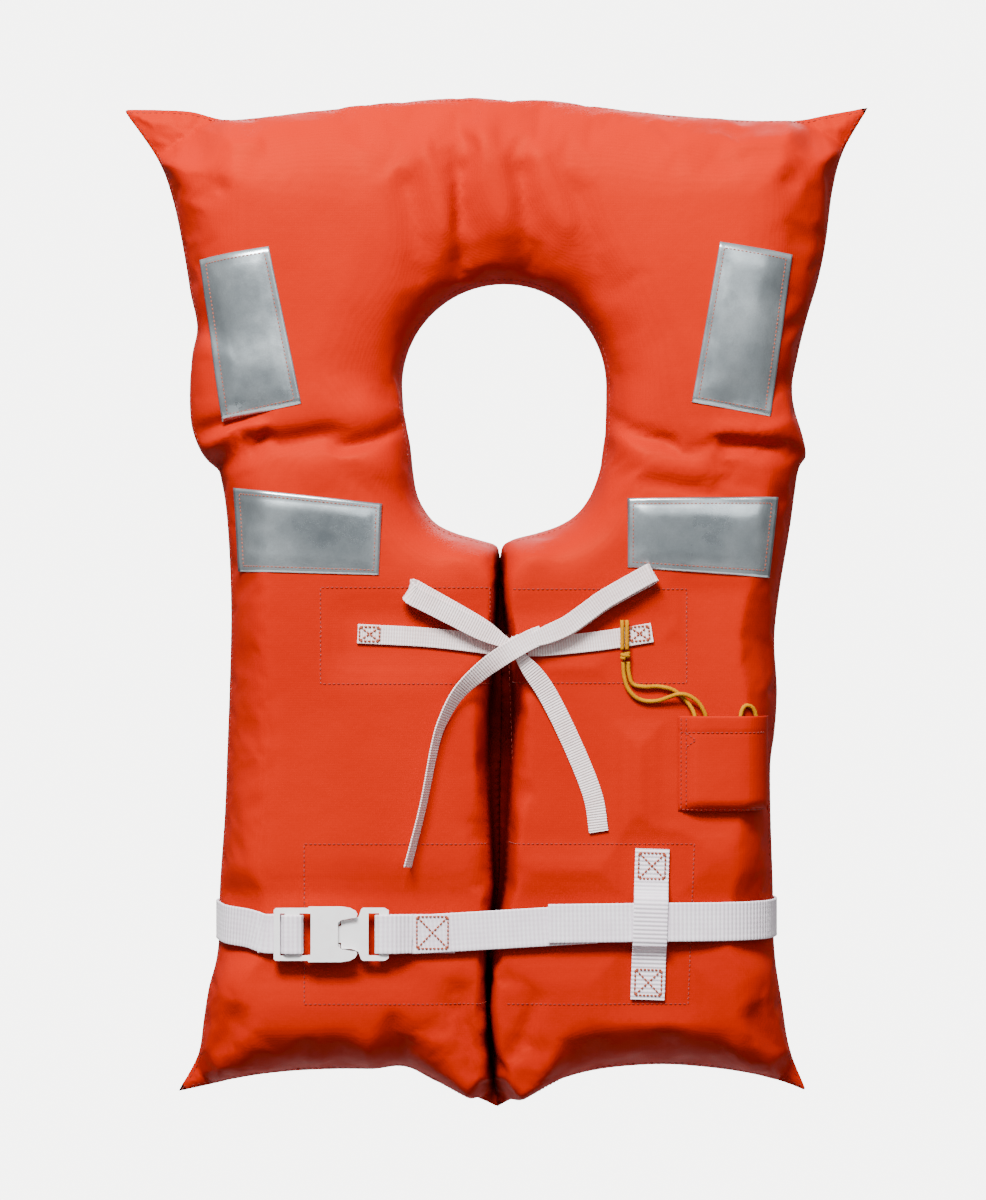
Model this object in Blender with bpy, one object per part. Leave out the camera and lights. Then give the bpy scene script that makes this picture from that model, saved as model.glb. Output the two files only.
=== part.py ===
"""Keyhole-yoke foam life jacket, hanging by its neck opening with the waist belt buckled.

Frame: metres, +Z up (towards the wearer's head), the front faces -Y, +X is the viewer's right.
The origin is the top of the neck opening, in the plane of the seam that joins the front and back sheets.
Lengths below are millimetres; mm() turns them into metres. Left and right are the viewer's.
"""

import math

import bmesh
import bpy
from mathutils import Vector
from mathutils.geometry import delaunay_2d_cdt

# Driving dimensions, mm
FRONT_DEPTH = 48.0  # seam plane to the flat front
BACK_DEPTH = 38.0  # seam plane to the flat back
COVER_WALL = 1.2
FOAM_CLEARANCE = 2.6
SEAM_HALF_GAP = 0.2
CREASE_Z = -112.0  # shoulder crease, where the fronts fold back on the collar
NECK_RADIUS = 66.7
NECK_CENTRE = (0.7, -66.0)
WEBBING_WIDTH = 25.0
WEBBING = 1.5  # webbing thickness
TIE_WIDTH = 12.5
TIE = 1.0  # tie tape thickness
CORD = 2.8  # lanyard diameter
REFLECTOR = 0.5
BUCKLE_Z = -420.5
BUCKLE_Y = -54.75  # middle of the buckle's thickness
BELT_LEFT_Z, BELT_RIGHT_Z = -414.5, -412.8
BELT_SLACK = 0.6  # how far the belt stands off the rounded sides
KEEPER_WIDTH = 22.0
KEEPER_LEAN = 0.033  # how far the keeper shifts left for each millimetre down
PATCH = 0.5  # reinforcement under the front sheet
REFLECTOR_LIFT = 2.6
GAP = 0.4  # between pieces that touch
RING_APART = 1.5  # least distance between a dome ring's points
RING_DEPTH = 0.97  # share of its inset that a ring point must have from every edge

# How deep the stuffed panels are at each distance in from their edge, as shares of the full depth
ROUNDING = ((0.0, 0.0), (2.0, 0.33), (8.0, 0.65), (22.0, 0.9), (45.0, 1.0))

# Outlines, clockwise from the shoulder crease, as (x, z)
COLLAR_LEFT = ((-196, -111), (-203, -92), (-205, -48), (-201, -27), (-209, 20), (-216, 54), (-225, 88))
COLLAR_TOP = ((-228, 103), (-215, 110), (-182, 108), (-108, 116), (-15, 120.5), (12, 120.5), (104, 112),
              (197, 108), (210, 111), (222, 104))
COLLAR_RIGHT = ((222, 88), (216, 65), (212, 31), (199, -22), (190, -69), (191, -77), (198, -111))
NECK_RIGHT = ((64.7, -111), (66.6, -88))
NECK_LEFT = ((-63.5, -88), (-59.4, -111))
LEFT_PANEL_NECK = ((-58.7, -113), (-57, -137), (-45.5, -156.4), (-22.4, -165), (-10, -167.5))
LEFT_PANEL_GAP = ((-3, -172), (-4, -206), (-5.6, -245), (-8.6, -279), (-8.9, -315), (-7.6, -338), (-6, -391),
                  (-9.6, -434), (-10.9, -470), (-9, -522))
LEFT_PANEL_FOOT = ((-22, -528), (-42, -522), (-68, -512), (-108, -513.5), (-141, -516), (-174, -520))
LEFT_PANEL_SIDE = ((-196, -519), (-197, -490), (-194, -462), (-186.5, -435), (-185.5, -391), (-181, -318),
                   (-179.5, -272), (-178.2, -219), (-179, -179), (-181.5, -140), (-184, -126), (-193, -113))
RIGHT_PANEL_GAP = ((-5, -522), (-8.6, -470), (-7.2, -434), (0.7, -391), (2.6, -338), (3.6, -315), (6.4, -279),
                   (3.6, -245), (0.2, -206), (-0.8, -172))
RIGHT_PANEL_NECK = ((7, -165.5), (21, -162.4), (43.6, -155), (55.4, -142), (62.7, -125), (64.7, -113))
RIGHT_PANEL_SIDE = ((195, -113), (192.7, -127), (188, -160), (181.5, -199), (177.5, -232), (180.2, -265),
                    (178.2, -292), (175, -312), (175.6, -338), (177, -391), (178, -435), (183, -470),
                    (187, -500), (186, -517))
RIGHT_PANEL_FOOT = ((170, -518), (130, -512), (104, -511), (64, -513.5), (24, -524), (8, -530))
# The sheets' pointed corners, which stand out flat past the stuffed part
EARS = {
    (-228, 103): (-249, 115.5),
    (222, 104): (239.5, 117),
    (-9, -522): (-4.6, -538.5),
    (-5, -522): (-2.6, -538.5),
    (-196, -519): (-213, -528),
    (186, -517): (199, -528),
}


def mm(x, y, z):
    return Vector((x, y, z)) / 1000


def arc(centre, radius, start, end, steps):
    """Points on a circle from angle start to end, in degrees, both included."""
    angles = [math.radians(start + (end - start) * i / steps) for i in range(steps + 1)]
    return [(centre[0] + radius * math.cos(a), centre[1] + radius * math.sin(a)) for a in angles]


# ---------------------------------------------------------------- materials and objects


def make_material(name, colour, roughness, metallic=0.0):
    material = bpy.data.materials.new(name)
    material.use_nodes = True
    shader = material.node_tree.nodes["Principled BSDF"]
    shader.inputs["Base Color"].default_value = (*colour, 1.0)
    shader.inputs["Roughness"].default_value = roughness
    shader.inputs["Metallic"].default_value = metallic
    return material


def clear_scene():
    for obj in list(bpy.data.objects):
        bpy.data.objects.remove(obj, do_unlink=True)


def add_axis(name, place, parent=None):
    """An empty on a joint's axis, which the joint's moving pieces hang from."""
    empty = bpy.data.objects.new(name, None)
    bpy.context.collection.objects.link(empty)
    attach(empty, place, parent)
    return empty


def attach(obj, place, parent):
    obj.location = place
    if parent:
        bpy.context.view_layer.update()
        obj.parent = parent
        obj.matrix_parent_inverse = parent.matrix_world.inverted()


def add_object(name, bm, material, parent=None, place=Vector((0, 0, 0))):
    """Turns a bmesh in world metres into an object whose origin is at place."""
    bmesh.ops.translate(bm, verts=bm.verts, vec=-place)
    bmesh.ops.recalc_face_normals(bm, faces=bm.faces)
    mesh = bpy.data.meshes.new(name)
    bm.to_mesh(mesh)
    bm.free()
    mesh.materials.append(material)
    obj = bpy.data.objects.new(name, mesh)
    bpy.context.collection.objects.link(obj)
    attach(obj, place, parent)
    return obj


def add_boolean(obj, other, operation):
    other.hide_render = True
    other.display_type = "WIRE"
    modifier = obj.modifiers.new(operation.title(), "BOOLEAN")
    modifier.operation = operation
    modifier.object = other


# ---------------------------------------------------------------- stuffed panels


def nearest_distance(x, z, outline):
    """Distance from a point to an outline."""
    best = math.inf
    for (ax, az), (bx, bz) in zip(outline, outline[1:] + outline[:1]):
        along = ((x - ax) * (bx - ax) + (z - az) * (bz - az)) / ((bx - ax) ** 2 + (bz - az) ** 2)
        along = min(1.0, max(0.0, along))
        best = min(best, math.hypot(x - ax - along * (bx - ax), z - az - along * (bz - az)))
    return best


def inside(x, z, outline):
    crossings = 0
    for (ax, az), (bx, bz) in zip(outline, outline[1:] + outline[:1]):
        if (az > z) != (bz > z) and x < ax + (z - az) * (bx - ax) / (bz - az):
            crossings += 1
    return crossings % 2 == 1


def rounding_at(inset):
    """Share of the full depth at this distance in from the edge."""
    for (near, low), (far, high) in zip(ROUNDING, ROUNDING[1:]):
        if inset < far:
            return low + (high - low) * (inset - near) / (far - near)
    return 1.0


def inset_outline(outline, distance):
    """A clockwise outline moved inwards, each corner along its mitre."""
    moved = []
    for before, here, after in zip(outline[-1:] + outline[:-1], outline, outline[1:] + outline[:1]):
        first = Vector((here[1] - before[1], before[0] - here[0])).normalized()
        second = Vector((after[1] - here[1], here[0] - after[0])).normalized()
        mitre = (first + second) / (1 + first.dot(second))
        moved.append((here[0] + distance * mitre.x, here[1] + distance * mitre.y))
    return moved


def dome_layout(outline):
    """Plan points and triangles of a dome: its outline, a ring at each rounding distance, and its flat."""
    points = list(outline)
    count = len(outline)
    edges = [(i, (i + 1) % count) for i in range(count)]
    for inset, _ in ROUNDING[1:]:
        ring = []
        for x, z in inset_outline(outline, inset):
            apart = min(math.hypot(x - px, z - pz) for px, pz in points)
            deep = nearest_distance(x, z, outline) > RING_DEPTH * inset
            if inside(x, z, outline) and deep and apart > RING_APART:
                ring.append(len(points))
                points.append((x, z))
        edges += list(zip(ring, ring[1:] + ring[:1]))
    plan = [Vector(point) for point in points]
    made, _, faces, origins, _, _ = delaunay_2d_cdt(plan, edges, [], 1, 1e-5)
    order = {source[0]: new for new, source in enumerate(origins) if source}
    return [tuple(point) for point in made], faces, [order[i] for i in range(count)]


def dome_surface(bm, outline, depth, rim_y, ears):
    """Adds one domed surface to bm and returns its rim, in outline order."""
    points, faces, rim = dome_layout(outline)
    rim_set = set(rim)
    verts = []
    for index, (x, z) in enumerate(points):
        y = rim_y
        if index in rim_set:
            x, z = ears.get(outline[rim.index(index)], (x, z))
        else:
            y += (depth - rim_y) * rounding_at(nearest_distance(x, z, outline))
        verts.append(bm.verts.new(mm(x, y, z)))
    for face in faces:
        bm.faces.new([verts[i] for i in face])
    return [verts[i] for i in rim]


def bridge(bm, first, second):
    for i in range(len(first)):
        j = (i + 1) % len(first)
        bm.faces.new((first[i], first[j], second[j], second[i]))


def add_cover(name, outline, side, depth, material, parent):
    """One sheet of the sewn shell: an open dish with its rim at the seam. side is -1 in front, +1 behind."""
    bm = bmesh.new()
    rim_y = side * SEAM_HALF_GAP
    outer = dome_surface(bm, outline, side * depth, rim_y, EARS)
    inner_outline = inset_outline(outline, COVER_WALL)
    inner = dome_surface(bm, inner_outline, side * (depth - COVER_WALL), rim_y, {})
    bridge(bm, outer, inner)
    return add_object(name, bm, material, parent)


def add_foam(name, outline, side, depth, material, parent):
    """One slab of the foam insert: flat at the seam plane, domed under its cover."""
    bm = bmesh.new()
    rim_y = side * SEAM_HALF_GAP
    slab = inset_outline(outline, FOAM_CLEARANCE)
    rim = dome_surface(bm, slab, side * (depth - FOAM_CLEARANCE), rim_y, {})
    bm.faces.new(rim)
    return add_object(name, bm, material, parent)


def front_y(outline, x, z, lift):
    """y of the front sheet at a place, moved out by lift."""
    return -FRONT_DEPTH * rounding_at(nearest_distance(x, z, outline)) - lift


def add_draped(name, outline, corners, lift, thickness, material, parent, cells=7):
    """A thin patch that follows the front sheet. Its corners run clockwise from the top left."""
    bm = bmesh.new()
    layers = []
    for rise in (lift, lift + thickness):
        grid = []
        for i in range(cells + 1):
            for j in range(cells + 1):
                u, v = j / cells, i / cells
                top = [a + (b - a) * u for a, b in zip(corners[0], corners[1])]
                bottom = [a + (b - a) * u for a, b in zip(corners[3], corners[2])]
                x, z = (a + (b - a) * v for a, b in zip(top, bottom))
                grid.append(bm.verts.new(mm(x, front_y(outline, x, z, rise), z)))
        layers.append(grid)
    side = cells + 1
    for grid in layers:
        for i in range(cells):
            for j in range(cells):
                a = i * side + j
                bm.faces.new((grid[a], grid[a + 1], grid[a + side + 1], grid[a + side]))
    border = [j for j in range(cells)] + [cells + i * side for i in range(cells)]
    border += [side * side - 1 - j for j in range(cells)] + [side * (cells - i) for i in range(cells)]
    bridge(bm, [layers[0][i] for i in border], [layers[1][i] for i in border])
    return add_object(name, bm, material, parent)


# ---------------------------------------------------------------- tapes, webbing and cord


def smooth_route(points, spacing):
    """Points about spacing apart along a Catmull-Rom curve through the route's own points."""
    ends = [points[0] * 2 - points[1], *points, points[-1] * 2 - points[-2]]
    route = []
    for a, b, c, d in zip(ends, ends[1:], ends[2:], ends[3:]):
        steps = max(1, round((c - b).length / spacing))
        for i in range(steps):
            t = i / steps
            bend = (2 * a - 5 * b + 4 * c - d) * t**2 + (3 * b - a - 3 * c + d) * t**3
            route.append(0.5 * (2 * b + (c - a) * t + bend))
    return route + [points[-1]]


def add_ribbon(name, path, across, width, thickness, material, parent):
    """A flat band along path, points in mm. across is the width's direction, one for all or one a point."""
    bm = bmesh.new()
    if isinstance(across, Vector):
        across = [across] * len(path)
    rings = []
    for i, here in enumerate(path):
        ahead = path[min(i + 1, len(path) - 1)] - path[max(i - 1, 0)]
        wide = (across[i] - across[i].project(ahead)).normalized() * width / 2
        thick = ahead.cross(wide).normalized() * thickness / 2
        sides = (wide + thick, wide - thick, -wide - thick, thick - wide)
        rings.append([bm.verts.new((here + side) / 1000) for side in sides])
    for first, second in zip(rings, rings[1:]):
        bridge(bm, first, second)
    bm.faces.new(rings[0])
    bm.faces.new(rings[-1])
    return add_object(name, bm, material, parent)


def add_cord(name, route, diameter, material, parent):
    """A round cord through the route's points, with a point about every 2.5 diameters."""
    points = smooth_route([Vector(p) for p in route], 2.5 * diameter)
    curve = bpy.data.curves.new(name, "CURVE")
    curve.dimensions = "3D"
    curve.bevel_depth = diameter / 2000
    curve.bevel_resolution = 2
    curve.use_fill_caps = True
    spline = curve.splines.new("POLY")
    spline.points.add(len(points) - 1)
    for target, point in zip(spline.points, points):
        target.co = (*(point / 1000), 1.0)
    curve.materials.append(material)
    obj = bpy.data.objects.new(name, curve)
    bpy.context.collection.objects.link(obj)
    attach(obj, Vector((0, 0, 0)), parent)
    return obj


def add_bead(name, centre, radii, material, parent, segments=12, rings=8):
    """A rounded knot, as an ellipsoid."""
    bm = bmesh.new()
    bmesh.ops.create_uvsphere(bm, u_segments=segments, v_segments=rings, radius=0.001)
    bmesh.ops.scale(bm, verts=bm.verts, vec=radii)
    bmesh.ops.translate(bm, verts=bm.verts, vec=mm(*centre))
    obj = add_object(name, bm, material, parent, mm(*centre))
    obj.data.shade_smooth()
    return obj


def bend_path(path, offset):
    """A plan path moved sideways by offset, to its left as it runs."""
    moved = []
    for i, here in enumerate(path):
        before, after = path[max(i - 1, 0)], path[min(i + 1, len(path) - 1)]
        first = Vector((before[1] - here[1], here[0] - before[0])) if i else None
        second = Vector((here[1] - after[1], after[0] - here[0])) if i < len(path) - 1 else None
        normals = [n.normalized() for n in (first, second) if n is not None]
        mitre = normals[0]
        if len(normals) > 1:
            mitre = (normals[0] + normals[1]) / (1 + normals[0].dot(normals[1]))
        moved.append((here[0] + offset * mitre.x, here[1] + offset * mitre.y))
    return moved


# ---------------------------------------------------------------- flat mouldings


def prism(points, low, high, axis="Y"):
    """A bmesh of an outline pushed along an axis from low to high: (x, z) points for Y, (x, y) for Z."""
    bm = bmesh.new()
    ends = []
    for level in (low, high):
        corners = [(a, level, b) if axis == "Y" else (a, b, level) for a, b in points]
        ends.append([bm.verts.new(mm(*corner)) for corner in corners])
    bm.faces.new(ends[0])
    bm.faces.new(ends[1])
    bridge(bm, *ends)
    return bm


def box(low, high):
    corners = [(low[0], low[2]), (high[0], low[2]), (high[0], high[2]), (low[0], high[2])]
    return prism(corners, low[1], high[1])


def mirrored(points):
    """An outline's upper half, given end to end, with its lower half, about the buckle's own axis."""
    both = points + [(x, -z) for x, z in reversed(points) if z]
    return [(x, z + BUCKLE_Z) for x, z in both]


def cut_box(obj, low, high, material, parent):
    """Cuts a box out of obj. low and high are x, y, z with y and z from the buckle's middle."""
    low = (low[0], low[1] + BUCKLE_Y, low[2] + BUCKLE_Z)
    high = (high[0], high[1] + BUCKLE_Y, high[2] + BUCKLE_Z)
    cutter = add_object(f"{obj.name}_cutter", box(low, high), material, parent)
    add_boolean(obj, cutter, "DIFFERENCE")


# ---------------------------------------------------------------- the jacket


def add_panels(shoulder, fabric, foam):
    arch = arc(NECK_CENTRE, NECK_RADIUS, 0, 180, 14)
    collar = [*COLLAR_LEFT, *COLLAR_TOP, *COLLAR_RIGHT, *NECK_RIGHT, *arch, *NECK_LEFT]
    left = [*LEFT_PANEL_NECK, *LEFT_PANEL_GAP, *LEFT_PANEL_FOOT, *LEFT_PANEL_SIDE]
    right = [*RIGHT_PANEL_SIDE, *RIGHT_PANEL_FOOT, *RIGHT_PANEL_GAP, *RIGHT_PANEL_NECK]
    outlines = {"collar": collar, "left": left, "right": right}
    for name, outline in outlines.items():
        parent = None if name == "collar" else shoulder
        for face, side, depth in (("front", -1, FRONT_DEPTH), ("back", 1, BACK_DEPTH)):
            add_cover(f"{name}_{face}_cover", outline, side, depth, fabric, parent)
            add_foam(f"{name}_foam_{face}", outline, side, depth, foam, parent)
    return outlines


def add_reflectors(outlines, shoulder, silver):
    patches = {
        "collar_reflector_left": ("collar", ((-196, 14), (-150.5, 21), (-129.5, -80), (-181, -91))),
        "collar_reflector_right": ("collar", ((139, 24), (186, 16.5), (172, -88), (121, -79))),
        "chest_reflector_left": ("left", ((-174, -133.5), (-78, -144), (-80, -190), (-171, -187.5))),
        "chest_reflector_right": ("right", ((80, -140.5), (177, -139.5), (171.5, -191.5), (80, -185))),
    }
    for name, (panel, corners) in patches.items():
        parent = None if panel == "collar" else shoulder
        add_draped(name, outlines[panel], corners, REFLECTOR_LIFT, REFLECTOR, silver, parent)


def add_inner_patches(outlines, shoulder, fabric):
    """Reinforcement between the front sheet and the foam, under what is sewn on."""
    places = {
        "tie_patch_left": ("left", (-116, -200, -56, -258)),
        "tie_patch_right": ("right", (56, -200, 116, -258)),
        "belt_patch_left": ("left", (-124, -370, -58, -458)),
        "belt_patch_right": ("right", (56, -370, 116, -458)),
    }
    depth = (COVER_WALL + FOAM_CLEARANCE) / 2
    for name, (panel, (x0, z0, x1, z1)) in places.items():
        corners = ((x0, z0), (x1, z0), (x1, z1), (x0, z1))
        add_draped(name, outlines[panel], corners, -depth - PATCH / 2, PATCH, fabric, shoulder, cells=1)


def add_ties(shoulder, tape):
    surface = -FRONT_DEPTH - GAP - TIE / 2
    upright = Vector((0, 0, 1))
    out_front = Vector((0, 1, 0))
    sewn = {
        "tie_tape_left": ((-93.7, surface, -227.7), (-50, surface, -230), (-18, -49.6, -233.5),
                          (-2, -50.2, -236)),
        "tie_tape_right": ((95.7, surface, -227), (64, surface, -232), (30, -49.6, -235.6),
                           (15.8, -50.2, -236)),
    }
    for name, places in sewn.items():
        route = smooth_route([Vector(p) for p in places], 12)
        add_ribbon(name, route, upright, TIE_WIDTH, TIE, tape, shoulder)
    add_bead("tie_knot", (6.9, -54, -236.3), (7, 5, 6), tape, shoulder)
    loops = {
        "bow_loop_left": ((-0.6, -232.6), (-30, -217.5), (-58.5, -203)),
        "bow_loop_right": ((14.6, -233.2), (40.9, -222.4), (64, -206), (94, -189)),
    }
    for name, places in loops.items():
        add_ribbon(name, *loop_path(places), TIE_WIDTH, TIE, tape, shoulder)
    edge_on = ((0.2, -57, -243.2), (-15, -57, -252), (-28.4, -57, -265.3), (-43.6, -56.5, -298.3),
               (-51.5, -56, -338), (-61.4, -55.8, -377.5))
    tail = smooth_route([Vector(p) for p in edge_on], 12)
    add_ribbon("tie_tail_left", tail, out_front, TIE_WIDTH, TIE, tape, shoulder)
    broad = ((11.9, -53, -244), (27.7, -50.6, -265.3), (44.2, surface, -298.3), (57.4, surface, -331.3),
             (61.4, surface, -355))
    tail = smooth_route([Vector(p) for p in broad], 12)
    across = [a.cross(out_front) for a in directions(tail)]
    add_ribbon("tie_tail_right", tail, across, TIE_WIDTH, TIE, tape, shoulder)


def directions(path):
    return [path[min(i + 1, len(path) - 1)] - path[max(i - 1, 0)] for i in range(len(path))]


def loop_path(places, front=-57.6, back=-52.4):
    """A bow loop's path, out in front and back behind, and the direction of its width at each point."""
    out = smooth_route([Vector((x, front, z)) for x, z in places], 14)
    radius = (back - front) / 2
    ahead = (out[-1] - out[-2]).normalized()
    turn = []
    for i in range(1, 6):
        angle = math.pi * i / 6
        back_off = Vector((0, radius * (1 - math.cos(angle)), 0))
        turn.append(out[-1] + ahead * radius * math.sin(angle) + back_off)
    home = [Vector((p.x, back, p.z)) for p in reversed(out)]
    depth = Vector((0, 1, 0))
    across = [a.cross(depth) for a in directions(out)]
    return out + turn + home, across + [across[-1]] * len(turn) + list(reversed(across))


def wrap_path(edge, side, middle):
    """Plan path of the belt round one side of the jacket, from the front to the back."""
    front = [(edge - side * inset, -FRONT_DEPTH * share) for inset, share in reversed(ROUNDING)]
    back = [(edge - side * inset, BACK_DEPTH * share) for inset, share in ROUNDING[1:]]
    clear = GAP + WEBBING / 2 + BELT_SLACK
    path = bend_path([*front, *back], -side * clear)
    return [p for p in path if abs(p[0]) > middle]


def add_belt(shoulder, webbing):
    upright = Vector((0, 0, 1))
    over, under, tail_y = BUCKLE_Y - 4.85, BUCKLE_Y + 3.5, BUCKLE_Y + 5.55
    threading = [(-158, tail_y), (-134, tail_y), (-130.5, tail_y - 0.6), (-129.2, tail_y - 2.4),
                 (-129.2, over + 2.2), (-130.3, over + 0.5), (-132.5, over), (-138.5, over),
                 (-140.7, over + 0.5), (-141.7, over + 2.2), (-141.7, under - 2.0), (-142.9, under - 0.4),
                 (-145.5, under), (-153, under + 0.2)]
    wrap = wrap_path(-185.5, -1, 148)
    path = [Vector((x, y, BUCKLE_Z)) for x, y in threading]
    for i, (x, y) in enumerate(wrap):
        path.append(Vector((x, y, BUCKLE_Z + (BELT_LEFT_Z - BUCKLE_Z) * min(1.0, (i + 2) / 4))))
    path.append(Vector((-139, BACK_DEPTH + GAP + WEBBING / 2, BELT_LEFT_Z)))
    add_ribbon("belt_left", path, upright, WEBBING_WIDTH, WEBBING, webbing, shoulder)
    wrap = wrap_path(177, 1, 140)
    path = [Vector((29, -54.4, BELT_RIGHT_Z - 1)), Vector((112, -54.4, BELT_RIGHT_Z)),
            Vector((136, -51.5, BELT_RIGHT_Z))]
    path += [Vector((x, y, BELT_RIGHT_Z)) for x, y in wrap]
    path.append(Vector((131, BACK_DEPTH + GAP + WEBBING / 2, BELT_RIGHT_Z)))
    add_ribbon("belt_right", path, upright, WEBBING_WIDTH, WEBBING, webbing, shoulder)
    back_y = BACK_DEPTH + GAP + WEBBING / 2
    path = [Vector((-138.5, back_y, BELT_LEFT_Z)), Vector((130.5, back_y, BELT_RIGHT_Z))]
    add_ribbon("belt_back", path, upright, WEBBING_WIDTH, WEBBING, webbing, shoulder)
    surface = -FRONT_DEPTH - GAP - WEBBING / 2
    keeper = [(-366, surface), (-386, surface - 0.2), (-394, -51.5), (-397.5, -55.2), (-402, -56.4),
              (-424, -56.4), (-428.5, -55.2), (-432, -51.5), (-440, surface - 0.2), (-463, surface)]
    top = keeper[0][0]
    path = [Vector((96 - (top - z) * KEEPER_LEAN, y, z)) for z, y in keeper]
    add_ribbon("belt_keeper", path, Vector((1, 0, 0)), KEEPER_WIDTH, WEBBING, webbing, shoulder)


def add_buckle(shoulder, plastic, webbing):
    """Side-release buckle on the belt: the socket stays with the jacket, the prong slides out along +X."""
    half = 17.5
    body = [(-125, 0), (-125, half), (-104, half), (-98.5, 16.6), (-95, 14.8), (-93.7, 12.6), (-94.2, 11),
            (-100, 10.2), (-104, 9.4), (-106, 7.5), (-106, 0)]
    shell = prism(mirrored(body), BUCKLE_Y - 4.75, BUCKLE_Y + 4.75)
    socket = add_object("buckle_socket", shell, plastic, shoulder)
    ladder = [(-147.2, 0), (-147.2, 15.6), (-146, 16.8), (-120, 16.8), (-120, 0)]
    frame = prism(mirrored(ladder), BUCKLE_Y - 3.0, BUCKLE_Y + 2.2)
    add_boolean(socket, add_object("buckle_ladder", frame, plastic, shoulder), "UNION")
    cut_box(socket, (-120.8, -2.1, -20), (-90, 2.1, 20), plastic, shoulder)
    for left, right in ((-143.2, -140.2), (-130.7, -123.4)):
        cut_box(socket, (left, -8, -13.6), (right, 8, 13.6), plastic, shoulder)

    prong_axis = add_axis("prong_axis", mm(-105, BUCKLE_Y, BUCKLE_Z), shoulder)
    neck = [(-117, 0), (-117, 2.2), (-116, 3), (-107.4, 3), (-107.4, 5.3), (-104, 5.3), (-104, 9.2),
            (-97, 9.4), (-93, 11), (-91.2, 16), (-90, 16.9), (-76, 16.9), (-73.5, 15.2), (-73.5, 0)]
    plate = prism(mirrored(neck), BUCKLE_Y - 1.7, BUCKLE_Y + 1.7)
    prong = add_object("buckle_prong", plate, plastic, prong_axis)
    cut_box(prong, (-86.5, -8, -13.6), (-79.6, 8, 13.6), plastic, prong_axis)
    for name, up in (("prong_arm_upper", 1), ("prong_arm_lower", -1)):
        root = (-106.1, 7.7 * up)
        knuckle = arc(root, 1.6, 90 * up, -90 * up, 6)
        strip = [(-112, 7.8), (-118.6, 9.6), (-119.8, 11.4), (-117.6, 15.2), (-112.8, 16.9), (-110.8, 16.6),
                 (-110.6, 13.6), (-109.2, 10.8)]
        plan = [(x, z + BUCKLE_Z) for x, z in knuckle + [(x, z * up) for x, z in strip]]
        hinge = add_axis(f"{name}_hinge", mm(root[0], BUCKLE_Y, root[1] + BUCKLE_Z), prong_axis)
        add_object(name, prism(plan, BUCKLE_Y - 1.6, BUCKLE_Y + 1.6), plastic, hinge,
                   mm(root[0], BUCKLE_Y, root[1] + BUCKLE_Z))

    low, high = BUCKLE_Y + 4.2, BUCKLE_Y - 2.85
    sewn = [(-31, low), (-62, low), (-70, BUCKLE_Y + 2.85), (-79, BUCKLE_Y + 2.85), (-81.2, BUCKLE_Y + 1.7),
            (-81.9, BUCKLE_Y), (-81.2, BUCKLE_Y - 1.7), (-79, high), (-71.5, high), (-65, BUCKLE_Y - 0.6),
            (-58, BUCKLE_Y + 2.15), (-50, BUCKLE_Y + 2.25), (60, BUCKLE_Y + 2.25)]
    rise = [0, 0, 0, 0, 0, 0, 0, 0, 0, 0, 0, 0, 6.5]
    path = [Vector((x, y, BUCKLE_Z + up)) for (x, y), up in zip(sewn, rise)]
    add_ribbon("prong_webbing", path, Vector((0, 0, 1)), WEBBING_WIDTH, WEBBING, webbing, prong_axis)


def add_pocket_and_whistle(shoulder, fabric, plastic):
    top, bottom, wall = -280.5, -342, 0.8
    front = [(112.5, -48.8), (117, -56.6), (152, -56.6), (163, -52.5), (169.5, -43), (171.4, -33.5)]
    back = [(170.2, -33.2), (167, -36.5), (160, -43.5), (150, -47.4), (131, -48.8)]
    pocket = add_object("whistle_pocket", prism(front + back, bottom, top, "Z"), fabric, shoulder)
    room = [*bend_path(front, wall)[1:-1], (170.9, -25), (113.7, -25)]
    room.insert(0, (113.7, -48.0))
    cutter = add_object("pocket_cutter", prism(room, bottom + wall, top + 10, "Z"), fabric, shoulder)
    add_boolean(pocket, cutter, "DIFFERENCE")

    low, high = (133.6, -55.2, -335), (150.0, -48.7, -291)
    axis = add_axis("whistle_axis", mm(141.8, -52, -300), shoulder)
    body = [(133.6, -331), (137, -335), (146.6, -335), (150, -331), (150, -293), (148, -291),
            (145.4, -290.4), (145.4, -286), (143.4, -284), (140.2, -284), (138.2, -286), (138.2, -290.4),
            (135.6, -291), (133.6, -293)]
    whistle = add_object("whistle", prism(body, low[1], high[1]), plastic, axis, mm(141.8, -52, -300))
    for name, (x0, y0, z0), (x1, y1, z1) in (
        ("lug_hole", (140.4, -58, -288.6), (143.2, -46, -286)),
        ("sound_slot", (136, -56, -316), (147.6, -53.6, -312)),
        ("mouth", (136.2, -53.6, -340), (147.4, -51.2, -310)),
    ):
        cutter = add_object(f"{name}_cutter", box((x0, y0, z0), (x1, y1, z1)), plastic, axis)
        add_boolean(whistle, cutter, "DIFFERENCE")


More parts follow.
